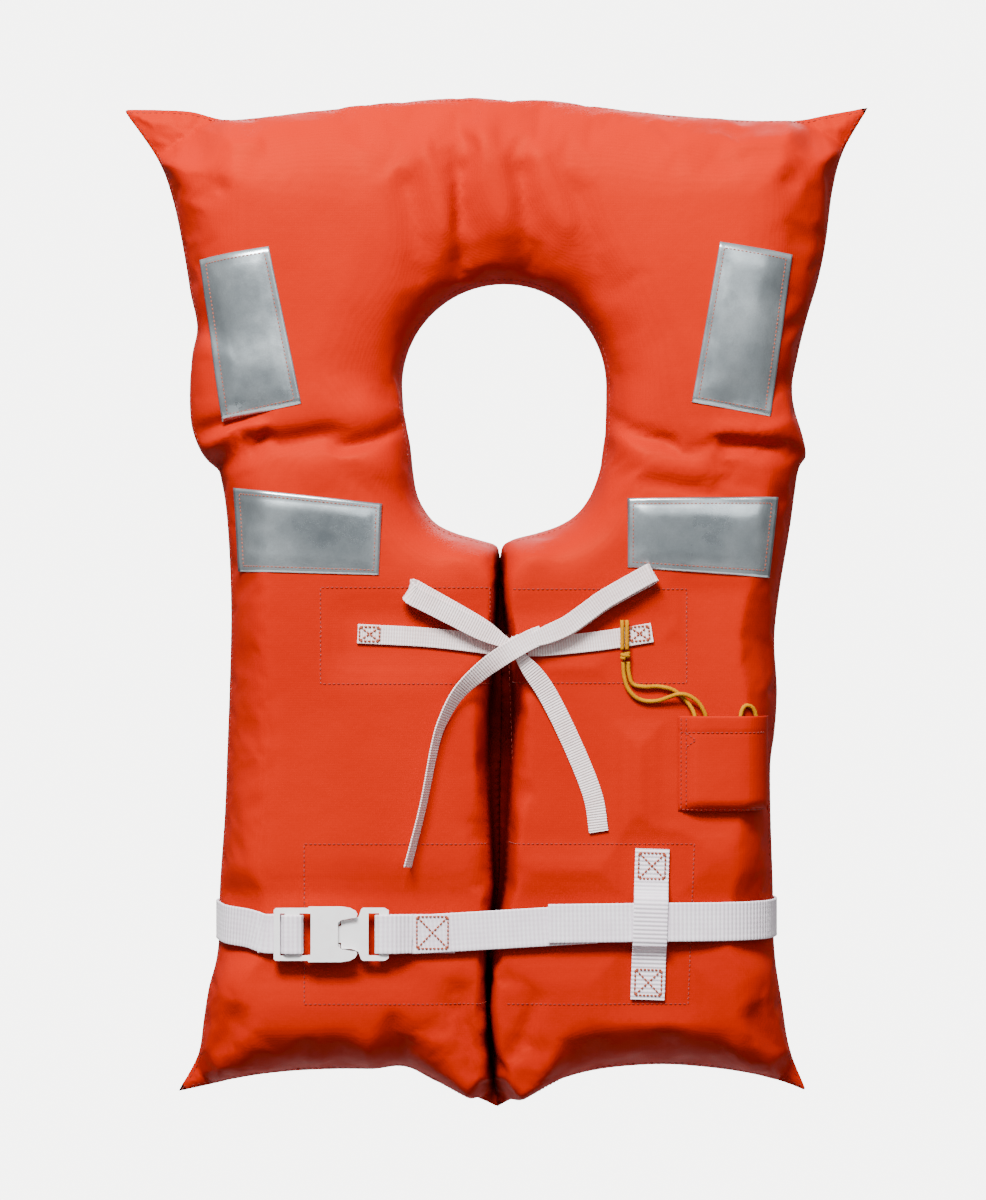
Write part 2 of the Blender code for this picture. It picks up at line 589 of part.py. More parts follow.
def add_lanyard(shoulder, yellow):
    hitch = ((78, -50.4, -219.4), (78, -51.1, -221), (78, -51.4, -224), (78, -51.4, -231),
             (78, -51.4, -235.4), (78, -51.2, -237.8))
    add_cord("lanyard_hitch", hitch, CORD, yellow, shoulder)
    add_bead("lanyard_knot", (78.5, -51.2, -241.9), (3.3, 2.7, 3.0), yellow, shoulder, 10, 6)
    strands = {
        "lanyard_strand_a": (
            (80.3, -50.2, -245.8), (80.8, -49.9, -253), (83.4, -49.9, -260), (91, -49.9, -261.8),
            (100, -49.9, -261.6), (109.6, -49.9, -264), (116.8, -49.9, -269.9), (121.6, -51.2, -276.5),
            (123.4, -53.0, -283), (123.5, -53.8, -289), (125.2, -53.8, -293.6), (128.4, -53.8, -293.2),
            (130.4, -53.8, -290),
        ),
        "lanyard_strand_b": (
            (77.1, -50.2, -245.8), (77.6, -49.9, -254), (79.8, -49.9, -262), (84.5, -49.9, -268),
            (91, -49.9, -270.8), (99, -50.2, -270.8), (106, -51.8, -268.6), (112.5, -53.4, -266.5),
            (119, -53.2, -267.4), (126, -52.4, -272.6), (130.3, -51.6, -281.8), (129.2, -50.5, -292),
            (126.8, -50.3, -306), (126.6, -50.3, -320), (129.2, -50.3, -332), (135.6, -50.3, -338.4),
            (143, -50.2, -339.1), (151, -49.4, -337.6), (158, -47.2, -331), (161.6, -45.4, -318),
            (163, -44.6, -302), (163.2, -45.4, -286), (161.8, -46.8, -277.5), (158.6, -48.4, -274.2),
            (155.2, -49.6, -274.4), (153.0, -50.4, -278.4), (152.4, -50.7, -284), (152.3, -50.7, -289.5),
        ),
    }
    for name, route in strands.items():
        add_cord(name, route, CORD, yellow, shoulder)


def main():
    clear_scene()
    fabric = make_material("orange_fabric", (0.82, 0.075, 0.02), 0.55)
    foam = make_material("foam", (0.85, 0.84, 0.8), 0.8)
    silver = make_material("reflective_tape", (0.55, 0.58, 0.6), 0.3, 0.4)
    webbing = make_material("webbing", (0.78, 0.77, 0.8), 0.7)
    tape = make_material("tie_tape", (0.78, 0.75, 0.76), 0.75)
    plastic = make_material("buckle_plastic", (0.82, 0.81, 0.8), 0.35)
    yellow = make_material("lanyard_cord", (0.72, 0.33, 0.02), 0.6)
    orange = make_material("whistle_plastic", (0.85, 0.16, 0.02), 0.35)

    shoulder = add_axis("shoulder_axis", mm(0, BACK_DEPTH, CREASE_Z))
    outlines = add_panels(shoulder, fabric, foam)
    add_reflectors(outlines, shoulder, silver)
    add_inner_patches(outlines, shoulder, fabric)
    add_ties(shoulder, tape)
    add_belt(shoulder, webbing)
    add_buckle(shoulder, plastic, webbing)
    add_pocket_and_whistle(shoulder, fabric, orange)
    add_lanyard(shoulder, yellow)


main()
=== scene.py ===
"""Looks of the foam life jacket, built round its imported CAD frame.

Lengths are millimetres in the CAD's own frame, and link_mesh() turns them into metres: +Z is up, the front
faces -Y and +X is the viewer's right. The sewn shell, tapes, webbing, cord and stitches are meshes made here.
The camera, lights, floor and materials' scales are in metres.
"""

import math

import bpy
import numpy as np
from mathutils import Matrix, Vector
from mathutils.bvhtree import BVHTree
from mathutils.geometry import delaunay_2d_cdt


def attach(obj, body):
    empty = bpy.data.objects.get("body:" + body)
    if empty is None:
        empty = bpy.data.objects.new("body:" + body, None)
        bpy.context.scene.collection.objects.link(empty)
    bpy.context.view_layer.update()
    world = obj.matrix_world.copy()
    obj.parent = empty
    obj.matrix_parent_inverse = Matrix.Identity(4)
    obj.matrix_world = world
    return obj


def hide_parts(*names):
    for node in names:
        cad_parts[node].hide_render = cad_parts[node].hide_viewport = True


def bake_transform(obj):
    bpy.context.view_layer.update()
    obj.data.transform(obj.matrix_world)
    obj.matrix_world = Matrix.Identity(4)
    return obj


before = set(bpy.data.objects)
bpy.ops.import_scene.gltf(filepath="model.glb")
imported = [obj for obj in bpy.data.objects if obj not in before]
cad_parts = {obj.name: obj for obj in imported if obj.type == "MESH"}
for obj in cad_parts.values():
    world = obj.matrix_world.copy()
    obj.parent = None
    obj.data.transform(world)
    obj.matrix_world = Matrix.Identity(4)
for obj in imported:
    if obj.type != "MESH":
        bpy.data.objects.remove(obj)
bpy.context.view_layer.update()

# Sizes the CAD model has too
FRONT_DEPTH, BACK_DEPTH = 48.0, 38.0
NECK_CENTRE, NECK_RADIUS = (0.7, -66.0), 66.7
WEBBING_WIDTH, WEBBING = 25.0, 1.5
TIE_WIDTH, TIE = 12.5, 1.0
CORD = 2.8
BUCKLE_Y, BUCKLE_Z = -54.75, -420.5
BELT_LEFT_Z, BELT_RIGHT_Z = -414.5, -412.8
KEEPER_WIDTH, KEEPER_LEAN = 22.0, 0.033
CLEAR = 0.4  # between a piece and what it lies on

# The shell's mesh
SPACING = 5.0
GAP_TOP, GAP_FOOT = -170.0, -538.0  # z of the front gap's ends
BELT_Z, SHOULDER_Z, FOOT_Z = -414.0, -105.0, -520.0  # z of the belt, the shoulder crease and the foot

# The shell's outline, clockwise from the left shoulder crease. Each run is smooth, and runs meet at corners.
OUTLINE = (
    ((-186, -121), (-196, -112), (-203, -93), (-205, -70), (-204, -46), (-200.5, -27), (-205, -5), (-209, 20),
     (-216, 54), (-226, 82), (-249, 115.5)),
    ((-249, 115.5), (-222, 115.3), (-203, 114), (-184, 109), (-163, 110), (-108, 116), (-60, 119.5), (0, 121),
     (50, 118), (104, 112.5), (150, 109), (190, 108.2), (212, 112), (239.5, 117)),
    ((239.5, 117), (223, 88), (216, 62), (212, 31), (207, 5), (199, -22), (193, -47), (189.5, -66),
     (191, -80), (196, -98), (199, -113)),
    ((199, -113), (194, -119), (191, -138), (188, -160), (181.5, -199), (178, -232), (179.8, -265),
     (178.2, -292), (175.5, -312), (175.6, -345), (177, -391), (178, -435), (183, -470), (188, -500),
     (199, -528)),
    ((199, -528), (184, -522), (160, -516), (130, -512), (100, -510.5), (64, -513.5), (38, -520),
     (12, -530.5), (-2.6, -538.5)),
    ((-2.6, -538.5), (-5.2, -520), (-7.8, -496), (-8.8, -470), (-7.8, -434), (-2.4, -391), (-1.6, -345),
     (-1.2, -310), (-0.6, -279), (-0.5, -245), (-0.8, -210), (-0.9, -170)),
    ((-0.6, -170), (7, -166), (21, -162.4), (36, -157.5), (48, -150), (57, -138), (63, -122), (66.2, -104),
     (67.2, -86), (67.4, -66)),
    "neck arch",
    ((-66, -66), (-64.5, -86), (-60.8, -104), (-58.8, -122), (-55.5, -139), (-46, -154), (-34, -161),
     (-20, -165.3), (-3.2, -170)),
    ((-3.2, -170), (-3.0, -206), (-2.5, -245), (-2.6, -279), (-3.2, -312), (-3.6, -345), (-4.4, -391),
     (-9.6, -434), (-10.6, -470), (-9.6, -496), (-7.4, -520), (-4.6, -538.5)),
    ((-4.6, -538.5), (-22, -530), (-44, -521.5), (-60, -513), (-70, -511.5), (-84, -513.5), (-108, -513.5),
     (-141, -515), (-172, -519), (-194, -524), (-213, -528)),
    ((-213, -528), (-200, -504), (-196.5, -482), (-193, -460), (-187, -435), (-185.6, -391), (-182.5, -345),
     (-181, -305), (-179.5, -265), (-178.4, -219), (-179.4, -179), (-181.8, -145), (-186, -121)),
)
# The stuffed panels' edges along the front gap, as (z, left x, right x). Their seams meet behind it.
GAP_EDGES = (
    (-538, -5, -3), (-520, -8, -5), (-470, -10.9, -8.6), (-434, -9.8, -7.3), (-391, -6.2, 0.4),
    (-345, -7.6, 2.6), (-312, -8.9, 4.6), (-279, -8.7, 6.3), (-245, -5.9, 3.7), (-206, -4.3, 0.5),
    (-170, -3.4, -0.6),
)
# Where the flat sewn corners stand out past the stuffed part: the two points their base lies between
EARS = (
    ((-226, 82), (-184, 109)), ((190, 108.2), (223, 88)), ((8, -530), (-5.2, -522)),
    ((-7.8, -522), (-19, -530)), ((-188, -524), (-201, -506)), ((189, -503), (180, -521)),
)


# ---------------------------------------------------------------- camera, stage and light


def add_camera():
    view = bpy.data.cameras.new("camera")
    view.lens = 80
    view.sensor_fit = "VERTICAL"
    view.sensor_height = 24
    distance = 2.622
    camera = bpy.data.objects.new("camera", view)
    camera.location = (-0.0066, -distance, -0.206)
    camera.rotation_euler = (math.pi / 2, 0, 0)
    bpy.context.collection.objects.link(camera)
    bpy.context.scene.camera = camera


def add_area_light(name, location, target, size, power):
    lamp = bpy.data.lights.new(name, "AREA")
    lamp.shape = "RECTANGLE"
    lamp.size, lamp.size_y = size
    lamp.energy = power
    light = bpy.data.objects.new(name, lamp)
    light.location = location
    light.rotation_euler = (Vector(target) - Vector(location)).to_track_quat("-Z", "Y").to_euler()
    bpy.context.collection.objects.link(light)


def add_sky():
    """A soft studio dome that lights the jacket, and a plain pale backdrop that only the camera sees."""
    world = bpy.data.worlds.new("studio")
    world.use_nodes = True
    tree = world.node_tree
    soft_light = tree.nodes["Background"]
    soft_light.inputs["Strength"].default_value = 0.85
    height = tree.nodes.new("ShaderNodeSeparateXYZ")
    tree.links.new(tree.nodes.new("ShaderNodeTexCoord").outputs["Generated"], height.inputs[0])
    dome = tree.nodes.new("ShaderNodeMapRange")
    dome.inputs["From Min"].default_value = -0.9
    dome.inputs["From Max"].default_value = 0.8
    tree.links.new(height.outputs["Z"], dome.inputs["Value"])
    shade = tree.nodes.new("ShaderNodeValToRGB")
    shade.color_ramp.elements[0].color = (0.3, 0.29, 0.29, 1)
    shade.color_ramp.elements[1].color = (1.0, 0.99, 0.98, 1)
    shade.color_ramp.elements.new(0.55).color = (0.25, 0.24, 0.24, 1)
    tree.links.new(dome.outputs[0], shade.inputs[0])
    tree.links.new(shade.outputs[0], soft_light.inputs["Color"])
    backdrop = tree.nodes.new("ShaderNodeBackground")
    backdrop.inputs["Color"].default_value = (1.0, 0.99, 0.975, 1)
    backdrop.inputs["Strength"].default_value = 6.0
    seen = tree.nodes.new("ShaderNodeLightPath")
    either = tree.nodes.new("ShaderNodeMixShader")
    tree.links.new(seen.outputs["Is Camera Ray"], either.inputs[0])
    tree.links.new(soft_light.outputs[0], either.inputs[1])
    tree.links.new(backdrop.outputs[0], either.inputs[2])
    tree.links.new(either.outputs[0], tree.nodes["World Output"].inputs["Surface"])
    bpy.context.scene.world = world


def add_lights():
    middle = (0, 0, -0.15)
    add_area_light("key", (-0.4, -1.35, 1.15), middle, (0.85, 0.6), 118)
    add_area_light("fill", (1.0, -2.6, 1.0), middle, (1.3, 1.3), 14)
    add_area_light("back", (0.4, 2.3, 1.3), middle, (1.6, 1.6), 34)


def add_floor():
    """A plain floor below the jacket. It throws no light back up, as the jacket hangs clear of it."""
    floor_mesh = bpy.data.meshes.new("floor")
    half, near, far, level = 1.6, -1.3, 1.3, -1.25
    corners = [(-half, near, level), (half, near, level), (half, far, level), (-half, far, level)]
    floor_mesh.from_pydata(corners, [], [(0, 1, 2, 3)])
    floor_mesh.materials.append(plain_floor())
    floor = bpy.data.objects.new("floor", floor_mesh)
    bpy.context.collection.objects.link(floor)
    floor.visible_diffuse = False


# ---------------------------------------------------------------- materials


class Finish:
    """A procedural material: a Principled shader and the nodes that feed it."""

    def __init__(self, name, **sockets):
        self.material = bpy.data.materials.new(name)
        self.material.use_nodes = True
        self.tree = self.material.node_tree
        self.shader = self.tree.nodes["Principled BSDF"]
        for socket, value in sockets.items():
            self.shader.inputs[socket.replace("_", " ")].default_value = value

    def add(self, kind, settings=None, **inputs):
        """A node of this kind. An input's value is a number, a vector or another node's output."""
        node = self.tree.nodes.new("ShaderNode" + kind)
        for key, value in (settings or {}).items():
            setattr(node, key, value)
        for key, value in inputs.items():
            socket = node.inputs[int(key[1:])] if key[0] == "_" else node.inputs[key.replace("_", " ")]
            if isinstance(value, bpy.types.NodeSocket):
                self.tree.links.new(value, socket)
            else:
                socket.default_value = value
        return node

    def math(self, operation, a, b=0.0):
        return self.add("Math", {"operation": operation}, _0=a, _1=b).outputs[0]

    def ramp(self, factor, stops):
        """A colour ramp through (position, grey or colour) stops."""
        node = self.add("ValToRGB", Fac=factor)
        elements = node.color_ramp.elements
        while len(elements) < len(stops):
            elements.new(1.0)
        for element, (position, colour) in zip(elements, stops):
            element.position = position
            grey = isinstance(colour, (int, float))
            element.color = (colour, colour, colour, 1) if grey else (*colour, 1)
        return node.outputs["Color"]

    def mix(self, factor, a, b):
        return self.add("Mix", {"data_type": "RGBA"}, _0=factor, _6=a, _7=b).outputs[2]

    def noise(self, place, scale, detail=2.0, roughness=0.5):
        return self.add("TexNoise", Vector=place, Scale=scale, Detail=detail, Roughness=roughness).outputs[0]

    def wave(self, along, period):
        """A smooth ridge pattern, 0 to 1, repeating each period in metres along a coordinate."""
        turns = self.math("MULTIPLY", along, 2 * math.pi / period)
        return self.math("ADD", self.math("MULTIPLY", self.math("SINE", turns), 0.5), 0.5)

    def position(self):
        return self.add("NewGeometry").outputs["Position"]

    def feed(self, socket, output):
        self.tree.links.new(output, self.shader.inputs[socket])

    def roughness(self, factor, low, high, start=0.3, end=0.7):
        """Roughness from low to high as a factor runs from start to end."""
        self.feed("Roughness", self.ramp(factor, ((start, low), (end, high))))

    def bump(self, height, distance, strength=1.0, under=None):
        inputs = {"Height": height, "Distance": distance, "Strength": strength}
        if under is not None:
            inputs["Normal"] = under
        return self.add("Bump", **inputs).outputs[0]


def plain_floor():
    floor = Finish("floor_paint", Base_Color=(0.86, 0.855, 0.845, 1), Roughness=0.8)
    place = floor.position()
    floor.roughness(floor.noise(place, 6), 0.75, 0.85)
    return floor.material


def orange_fabric(name="orange_shell_fabric", lit=(0.465, 0.0105, 0.0), deep=(0.395, 0.0072, 0.0)):
    """Coated woven nylon: a fine plain weave, soft colour drift, paler rubbed ridges, and painted shade deep
    in the front gap.
    """
    cloth = Finish(name, Specular_IOR_Level=0.1, Specular_Tint=(1.0, 0.32, 0.12, 1))
    place = cloth.position()
    axes = cloth.add("SeparateXYZ", Vector=place).outputs
    warp, weft = cloth.wave(axes[0], 0.0011), cloth.wave(axes[2], 0.0011)
    side = cloth.wave(axes[1], 0.0011)
    threads = cloth.math("MULTIPLY", cloth.math("ADD", cloth.math("MAXIMUM", warp, weft), side), 0.5)
    drift = cloth.noise(place, 9, 3)
    tone = cloth.ramp(drift, ((0.3, deep), (0.7, lit)))
    mottled = cloth.mix(cloth.math("MULTIPLY", cloth.noise(place, 260, 2), 0.12), tone, (0.52, 0.016, 0.0, 1))
    woven = cloth.mix(cloth.math("MULTIPLY", threads, 0.14), mottled, (0.28, 0.004, 0.0, 1))
    # Painted shade: dark maroon is mixed in where the front gap is deep, by a point attribute of the shell.
    painted_gap_shade = cloth.add("Attribute", {"attribute_name": "painted_gap_shade"}).outputs["Fac"]
    cloth.feed("Base Color", cloth.mix(painted_gap_shade, woven, (0.09, 0.0016, 0.0008, 1)))
    cloth.roughness(cloth.noise(place, 38, 4), 0.46, 0.6)
    crumple = cloth.bump(cloth.noise(place, 55, 3, 0.6), 0.0012, 0.35)
    cloth.feed("Normal", cloth.bump(threads, 0.00012, 0.5, crumple))
    return cloth.material


def woven_tape(name, colour, soil_and_groove_shade, rib, across_rib, fuzz=0.25):
    """Woven white tape or webbing, with painted shade in the grooves between its ribs. Its UVs run along (u)
    and across (v) in metres.
    """
    tape = Finish(name, Specular_IOR_Level=0.3, Sheen_Weight=fuzz, Sheen_Roughness=0.4)
    axes = tape.add("SeparateXYZ", Vector=tape.add("UVMap").outputs["UV"]).outputs
    ribs, ends = tape.wave(axes[0], rib), tape.wave(axes[1], across_rib)
    weave = tape.math("ADD", tape.math("MULTIPLY", ribs, 0.86), tape.math("MULTIPLY", ends, 0.14))
    place = tape.position()
    soil = tape.noise(place, 60, 4, 0.6)
    # Soiling is real dirt. The grooves between the ribs get painted shade in the same pinkish colour, which
    # stands for the orange fabric's bounce light.
    base = tape.mix(tape.ramp(soil, ((0.35, 0.0), (0.75, 0.55))), (*colour, 1), (*soil_and_groove_shade, 1))
    tape.feed("Base Color", tape.mix(tape.ramp(weave, ((0.1, 0.7), (0.6, 0.0))), base, (*soil_and_groove_shade, 1)))
    tape.roughness(soil, 0.62, 0.78)
    tape.feed("Normal", tape.bump(weave, 0.0005, 0.8, tape.bump(soil, 0.0006, 0.2)))
    return tape.material


def silver_tape():
    """Retro-reflective tape: glossy film over glass beads, with a fine grid and cloudy handling marks."""
    tape = Finish("reflective_film", Metallic=0.85, Coat_Weight=0.5, Coat_Roughness=0.18)
    place = tape.position()
    beads = tape.add("TexVoronoi", Vector=place, Scale=900.0).outputs["Distance"]
    cloud = tape.noise(place, 26, 5, 0.6)
    grey = tape.ramp(cloud, ((0.3, (0.29, 0.345, 0.375)), (0.7, (0.52, 0.59, 0.615))))
    tape.feed("Base Color", tape.mix(tape.math("MULTIPLY", beads, 0.25), grey, (0.2, 0.22, 0.24, 1)))
    tape.roughness(cloud, 0.24, 0.36)
    tape.feed("Normal", tape.bump(beads, 0.00004, 0.3, tape.bump(cloud, 0.0012, 0.2)))
    return tape.material


def moulded_plastic(name, colour, dark, roughness=0.32):
    """Injection-moulded plastic with a fine spark-eroded grain and slight handling wear."""
    plastic = Finish(name, Specular_IOR_Level=0.5, Subsurface_Weight=0.08, Subsurface_Scale=0.002)
    plastic.shader.inputs["Subsurface Radius"].default_value = (1, 0.8, 0.7)
    place = plastic.position()
    wear = plastic.noise(place, 120, 4, 0.6)
    grain = plastic.noise(place, 2600, 1)
    worn = plastic.ramp(wear, ((0.45, 0.0), (0.8, 0.5)))
    plastic.feed("Base Color", plastic.mix(worn, (*colour, 1), (*dark, 1)))
    plastic.roughness(wear, roughness, roughness + 0.14)
    plastic.feed("Normal", plastic.bump(grain, 0.00003, 0.4))
    return plastic.material


def twisted_cord():
    cord = Finish("lanyard_braid", Specular_IOR_Level=0.12, Specular_Tint=(1.0, 0.7, 0.2, 1))
    axes = cord.add("SeparateXYZ", Vector=cord.add("UVMap").outputs["UV"]).outputs
    lay = cord.math("ADD", axes[0], axes[1])
    fibres = cord.wave(lay, 0.0006)
    place = cord.position()
    tone = cord.ramp(cord.noise(place, 160, 3), ((0.3, (0.42, 0.165, 0.0)), (0.7, (0.54, 0.235, 0.0))))
    cord.feed("Base Color", cord.mix(cord.math("MULTIPLY", fibres, 0.3), tone, (0.32, 0.09, 0.0, 1)))
    cord.roughness(fibres, 0.5, 0.66, 0.0, 1.0)
    cord.feed("Normal", cord.bump(fibres, 0.00012, 0.6))
    return cord.material


def thread(name, colour, dark):
    sewn = Finish(name, Specular_IOR_Level=0.35, Sheen_Weight=0.2)
    place = sewn.position()
    ply = sewn.noise(place, 900, 2)
    sewn.feed("Base Color", sewn.ramp(ply, ((0.3, dark), (0.7, colour))))
    sewn.roughness(ply, 0.55, 0.7)
    sewn.feed("Normal", sewn.bump(ply, 0.0001, 0.5))
    return sewn.material


FABRIC = orange_fabric()
LINING = orange_fabric("orange_patch_fabric", (0.43, 0.013, 0.0), (0.36, 0.009, 0.0))
# The tape's pinkish colour and both pinkish shade colours are painted bounce light from the orange fabric.
BELT = woven_tape("white_webbing", (0.95, 0.915, 0.965), (0.74, 0.61, 0.71), 0.0027, 0.0031)
TAPE = woven_tape("white_twill_tape", (0.94, 0.85, 0.85), (0.66, 0.47, 0.45), 0.0017, 0.0024)
SILVER = silver_tape()
WHITE_PLASTIC = moulded_plastic("white_buckle_plastic", (0.94, 0.925, 0.925), (0.8, 0.75, 0.75))
WHISTLE_PLASTIC = moulded_plastic("whistle_plastic", (0.62, 0.1, 0.004), (0.45, 0.05, 0.002))
YELLOW = twisted_cord()
ORANGE_THREAD = thread("orange_thread", (0.27, 0.012, 0.001), (0.17, 0.006, 0.0005))
BROWN_THREAD = thread("brown_thread", (0.40, 0.07, 0.02), (0.27, 0.04, 0.012))


# ---------------------------------------------------------------- mesh helpers


def smooth_route(points, spacing):
    """Rows about spacing apart along a Catmull-Rom curve, measured by their first three columns."""
    rows = np.array([tuple(p) for p in points], float)
    ends = np.vstack([2 * rows[0] - rows[1], rows, 2 * rows[-1] - rows[-2]])
    route = []
    for a, b, c, d in zip(ends, ends[1:], ends[2:], ends[3:]):
        steps = max(1, round(float(np.linalg.norm((c - b)[:3])) / spacing))
        for i in range(steps):
            t = i / steps
            bend = (2 * a - 5 * b + 4 * c - d) * t**2 + (3 * b - a - 3 * c + d) * t**3
            route.append(0.5 * (2 * b + (c - a) * t + bend))
    return np.array([*route, rows[-1]])


def link_mesh(name, verts, faces, material, uvs=None):
    """An object from points in mm. uvs gives each point's place along and across, in metres."""
    mesh = bpy.data.meshes.new(name)
    mesh.from_pydata([tuple(v) for v in np.asarray(verts) / 1000], [], faces)
    if uvs is not None:
        layer = mesh.uv_layers.new(name="UVMap")
        corners = np.array([loop.vertex_index for loop in mesh.loops])
        layer.data.foreach_set("uv", np.asarray(uvs, np.float32)[corners].ravel())
    mesh.materials.append(material)
    mesh.shade_smooth()
    obj = bpy.data.objects.new(name, mesh)
    bpy.context.collection.objects.link(obj)
    return obj


def tube_faces(rings, around, base=0):
    """Quads between rings of points, and an end face on each end."""
    faces = []
    for i in range(rings - 1):
        for j in range(around):
            a, b = base + i * around + j, base + i * around + (j + 1) % around
            faces.append((a, b, b + around, a + around))
    faces.append(tuple(base + j for j in reversed(range(around))))
    faces.append(tuple(base + (rings - 1) * around + j for j in range(around)))
    return faces


def slab_faces(rows, wide, flipped=False):
    """Faces of a thin slab: a grid of rows points by wide points, the same grid beneath it, and the edges."""
    count = rows * wide
    faces = []
    for i in range(rows - 1):
        for j in range(wide - 1):
            a = i * wide + j
            quad = (a, a + wide, a + wide + 1, a + 1)
            faces += [quad, tuple(count + k for k in reversed(quad))]
    border = [*range(wide - 1), *range(wide - 1, count - 1, wide)]
    border += [*range(count - 1, count - wide, -1), *range(count - wide, 0, -wide)]
    faces += [(a, b, b + count, a + count) for a, b in zip(border, border[1:] + border[:1])]
    return [face[::-1] for face in faces] if flipped else faces


def assign(obj, body, node=None):
    """Puts a piece on its body, and hides the CAD node that it stands for."""
    if node:
        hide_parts(node)
    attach(obj, body)


def unit(rows):
    """Each row at length 1."""
    return rows / np.maximum(np.linalg.norm(rows, axis=-1, keepdims=True), 1e-9)


def run_along(points):
    """How far along a route each of its points is."""
    return np.concatenate([[0], np.cumsum(np.linalg.norm(np.diff(points, axis=0), axis=1))])


# A woven tape's section: (share of the width, share of the thickness), with fuller edges where the weft turns
SECTION = ((-0.5, 0.12), (-0.492, 0.4), (-0.47, 0.52), (-0.42, 0.44), (-0.2, 0.45), (0.0, 0.45), (0.2, 0.45),
           (0.42, 0.44), (0.47, 0.52), (0.492, 0.4), (0.5, 0.12))


def add_ribbon(name, path, across, width, thickness, material, spacing=2.2, gathered=(0, 0)):
    """A woven band along a path in mm. across is its width's direction, one for all or one a point.

    gathered is the share of its width that is drawn in at its start and at its end.
    """
    path = [tuple(p) for p in path]
    across = [tuple(across)] * len(path) if isinstance(across, Vector) else [tuple(a) for a in across]
    rows = smooth_route([p + a for p, a in zip(path, across)], spacing)
    centre, wide = rows[:, :3], rows[:, 3:6]
    ahead = unit(np.gradient(centre, axis=0))
    wide = unit(wide - ahead * np.sum(wide * ahead, axis=1, keepdims=True))
    thick = np.cross(ahead, wide)
    section = list(SECTION) + [(v, -n) for v, n in reversed(SECTION)]
    run = run_along(centre)
    drawn = gathered[0] * np.exp(-((run / 13) ** 2)) + gathered[1] * np.exp(-(((run[-1] - run) / 13) ** 2))
    span = wide * (width * (1 - drawn))[:, None]
    ring = [centre + span * v + thick * (n * thickness) for v, n in section]
    verts = np.stack(ring, axis=1).reshape(-1, 3)
    uvs = [(s / 1000, v * width / 1000) for s in run for v, _ in section]
    obj = link_mesh(name, verts, tube_faces(len(centre), len(section)), material, uvs)
    obj.data.set_sharp_from_angle(angle=math.radians(60))
    return obj, centre


def add_twisted_cord(name, route, diameter, turn=7.0):
    """A three-ply twisted cord along a route in mm. turn is the length of one twist."""
    centre = smooth_route(route, 0.8)
    ahead = unit(np.gradient(centre, axis=0))
    frames, side = [], unit(np.cross(ahead[0], (0.3, 0.9, 0.1)))
    for direction in ahead:
        side = unit(side - direction * float(side @ direction))
        frames.append(side)
    side = np.array(frames)
    up = np.cross(ahead, side)
    run = run_along(centre)
    around = 15
    verts, uvs = [], []
    for i, s in enumerate(run):
        for j in range(around):
            angle = 2 * math.pi * j / around
            lobe = abs(math.cos(1.5 * (angle - 2 * math.pi * s / turn)))
            radius = diameter / 2 * (0.8 + 0.22 * lobe)
            verts.append(centre[i] + radius * (math.cos(angle) * side[i] + math.sin(angle) * up[i]))
            uvs.append((s / 1000, angle * diameter / 2000))
    return link_mesh(name, verts, tube_faces(len(centre), around), YELLOW, uvs), centre


# Stitches, as (pitch, thread's width, how much of the pitch the stitch fills)
PLAIN_STITCH, FINE_STITCH = (3.0, 0.75, 0.85), (2.6, 0.6, 0.8)
EDGE_STITCH, BOX_STITCH = (4.0, 0.5, 0.72), (2.6, 1.25, 0.96)


def add_stitches(name, lines, material, pitch, thread_width, share):
    """Rows of sewn stitches as one mesh. A line is (points in mm, outward normals)."""
    verts, faces = [], []
    profile = ((0.0, 0.35, -0.5), (0.2, 0.9, 0.1), (0.5, 1.0, 0.32), (0.8, 0.9, 0.1), (1.0, 0.35, -0.5))
    for points, normals in lines:
        points, normals = np.asarray(points, float), np.asarray(normals, float)
        run = run_along(points)
        count = max(1, round(run[-1] / pitch))
        step = run[-1] / count
        for k in range(count):
            start = (k + (1 - share) / 2) * step
            at = [start + share * step * t for t, _, _ in profile]
            spine = np.stack([np.interp(at, run, points[:, c]) for c in range(3)], axis=1)
            out = unit(np.stack([np.interp(at, run, normals[:, c]) for c in range(3)], axis=1))
            ahead = unit(np.gradient(spine, axis=0))
            side = np.cross(ahead, out)
            base = len(verts)
            for i, (_, wide, rise) in enumerate(profile):
                middle = spine[i] + out[i] * rise * thread_width
                for j in range(6):
                    angle = 2 * math.pi * j / 6
                    arm = math.cos(angle) * side[i] + math.sin(angle) * out[i]
                    verts.append(middle + arm * wide * thread_width / 2)
            faces += tube_faces(len(profile), 6, base)
    return link_mesh(name, verts, faces, material)


# ---------------------------------------------------------------- the sewn shell


def outline_points():
    """The whole outline as points about SPACING apart, clockwise."""
    loop = []
    for run in OUTLINE:
        if run == "neck arch":
            steps = round(math.pi * NECK_RADIUS / SPACING)
            angles = np.linspace(0, math.pi, steps + 1)
            rows = np.stack([NECK_CENTRE[0] + NECK_RADIUS * np.cos(angles),
                             NECK_CENTRE[1] + NECK_RADIUS * np.sin(angles)], axis=1)
        else:
            rows = smooth_route(run, SPACING)
        loop += list(rows[:-1])
    return np.array(loop)


def edge_distance(points, loop):
    """Each point's distance to a closed loop."""
    start, end = loop, np.roll(loop, -1, axis=0)
    step = end - start
    length = np.maximum((step**2).sum(1), 1e-9)
    best = np.full(len(points), 1e9)
    for low in range(0, len(points), 2000):
        block = points[low:low + 2000, None, :]
        along = np.clip(((block - start) * step).sum(2) / length, 0, 1)
        gap = block - start - along[..., None] * step
        best[low:low + 2000] = np.sqrt((gap**2).sum(2).min(1))
    return best


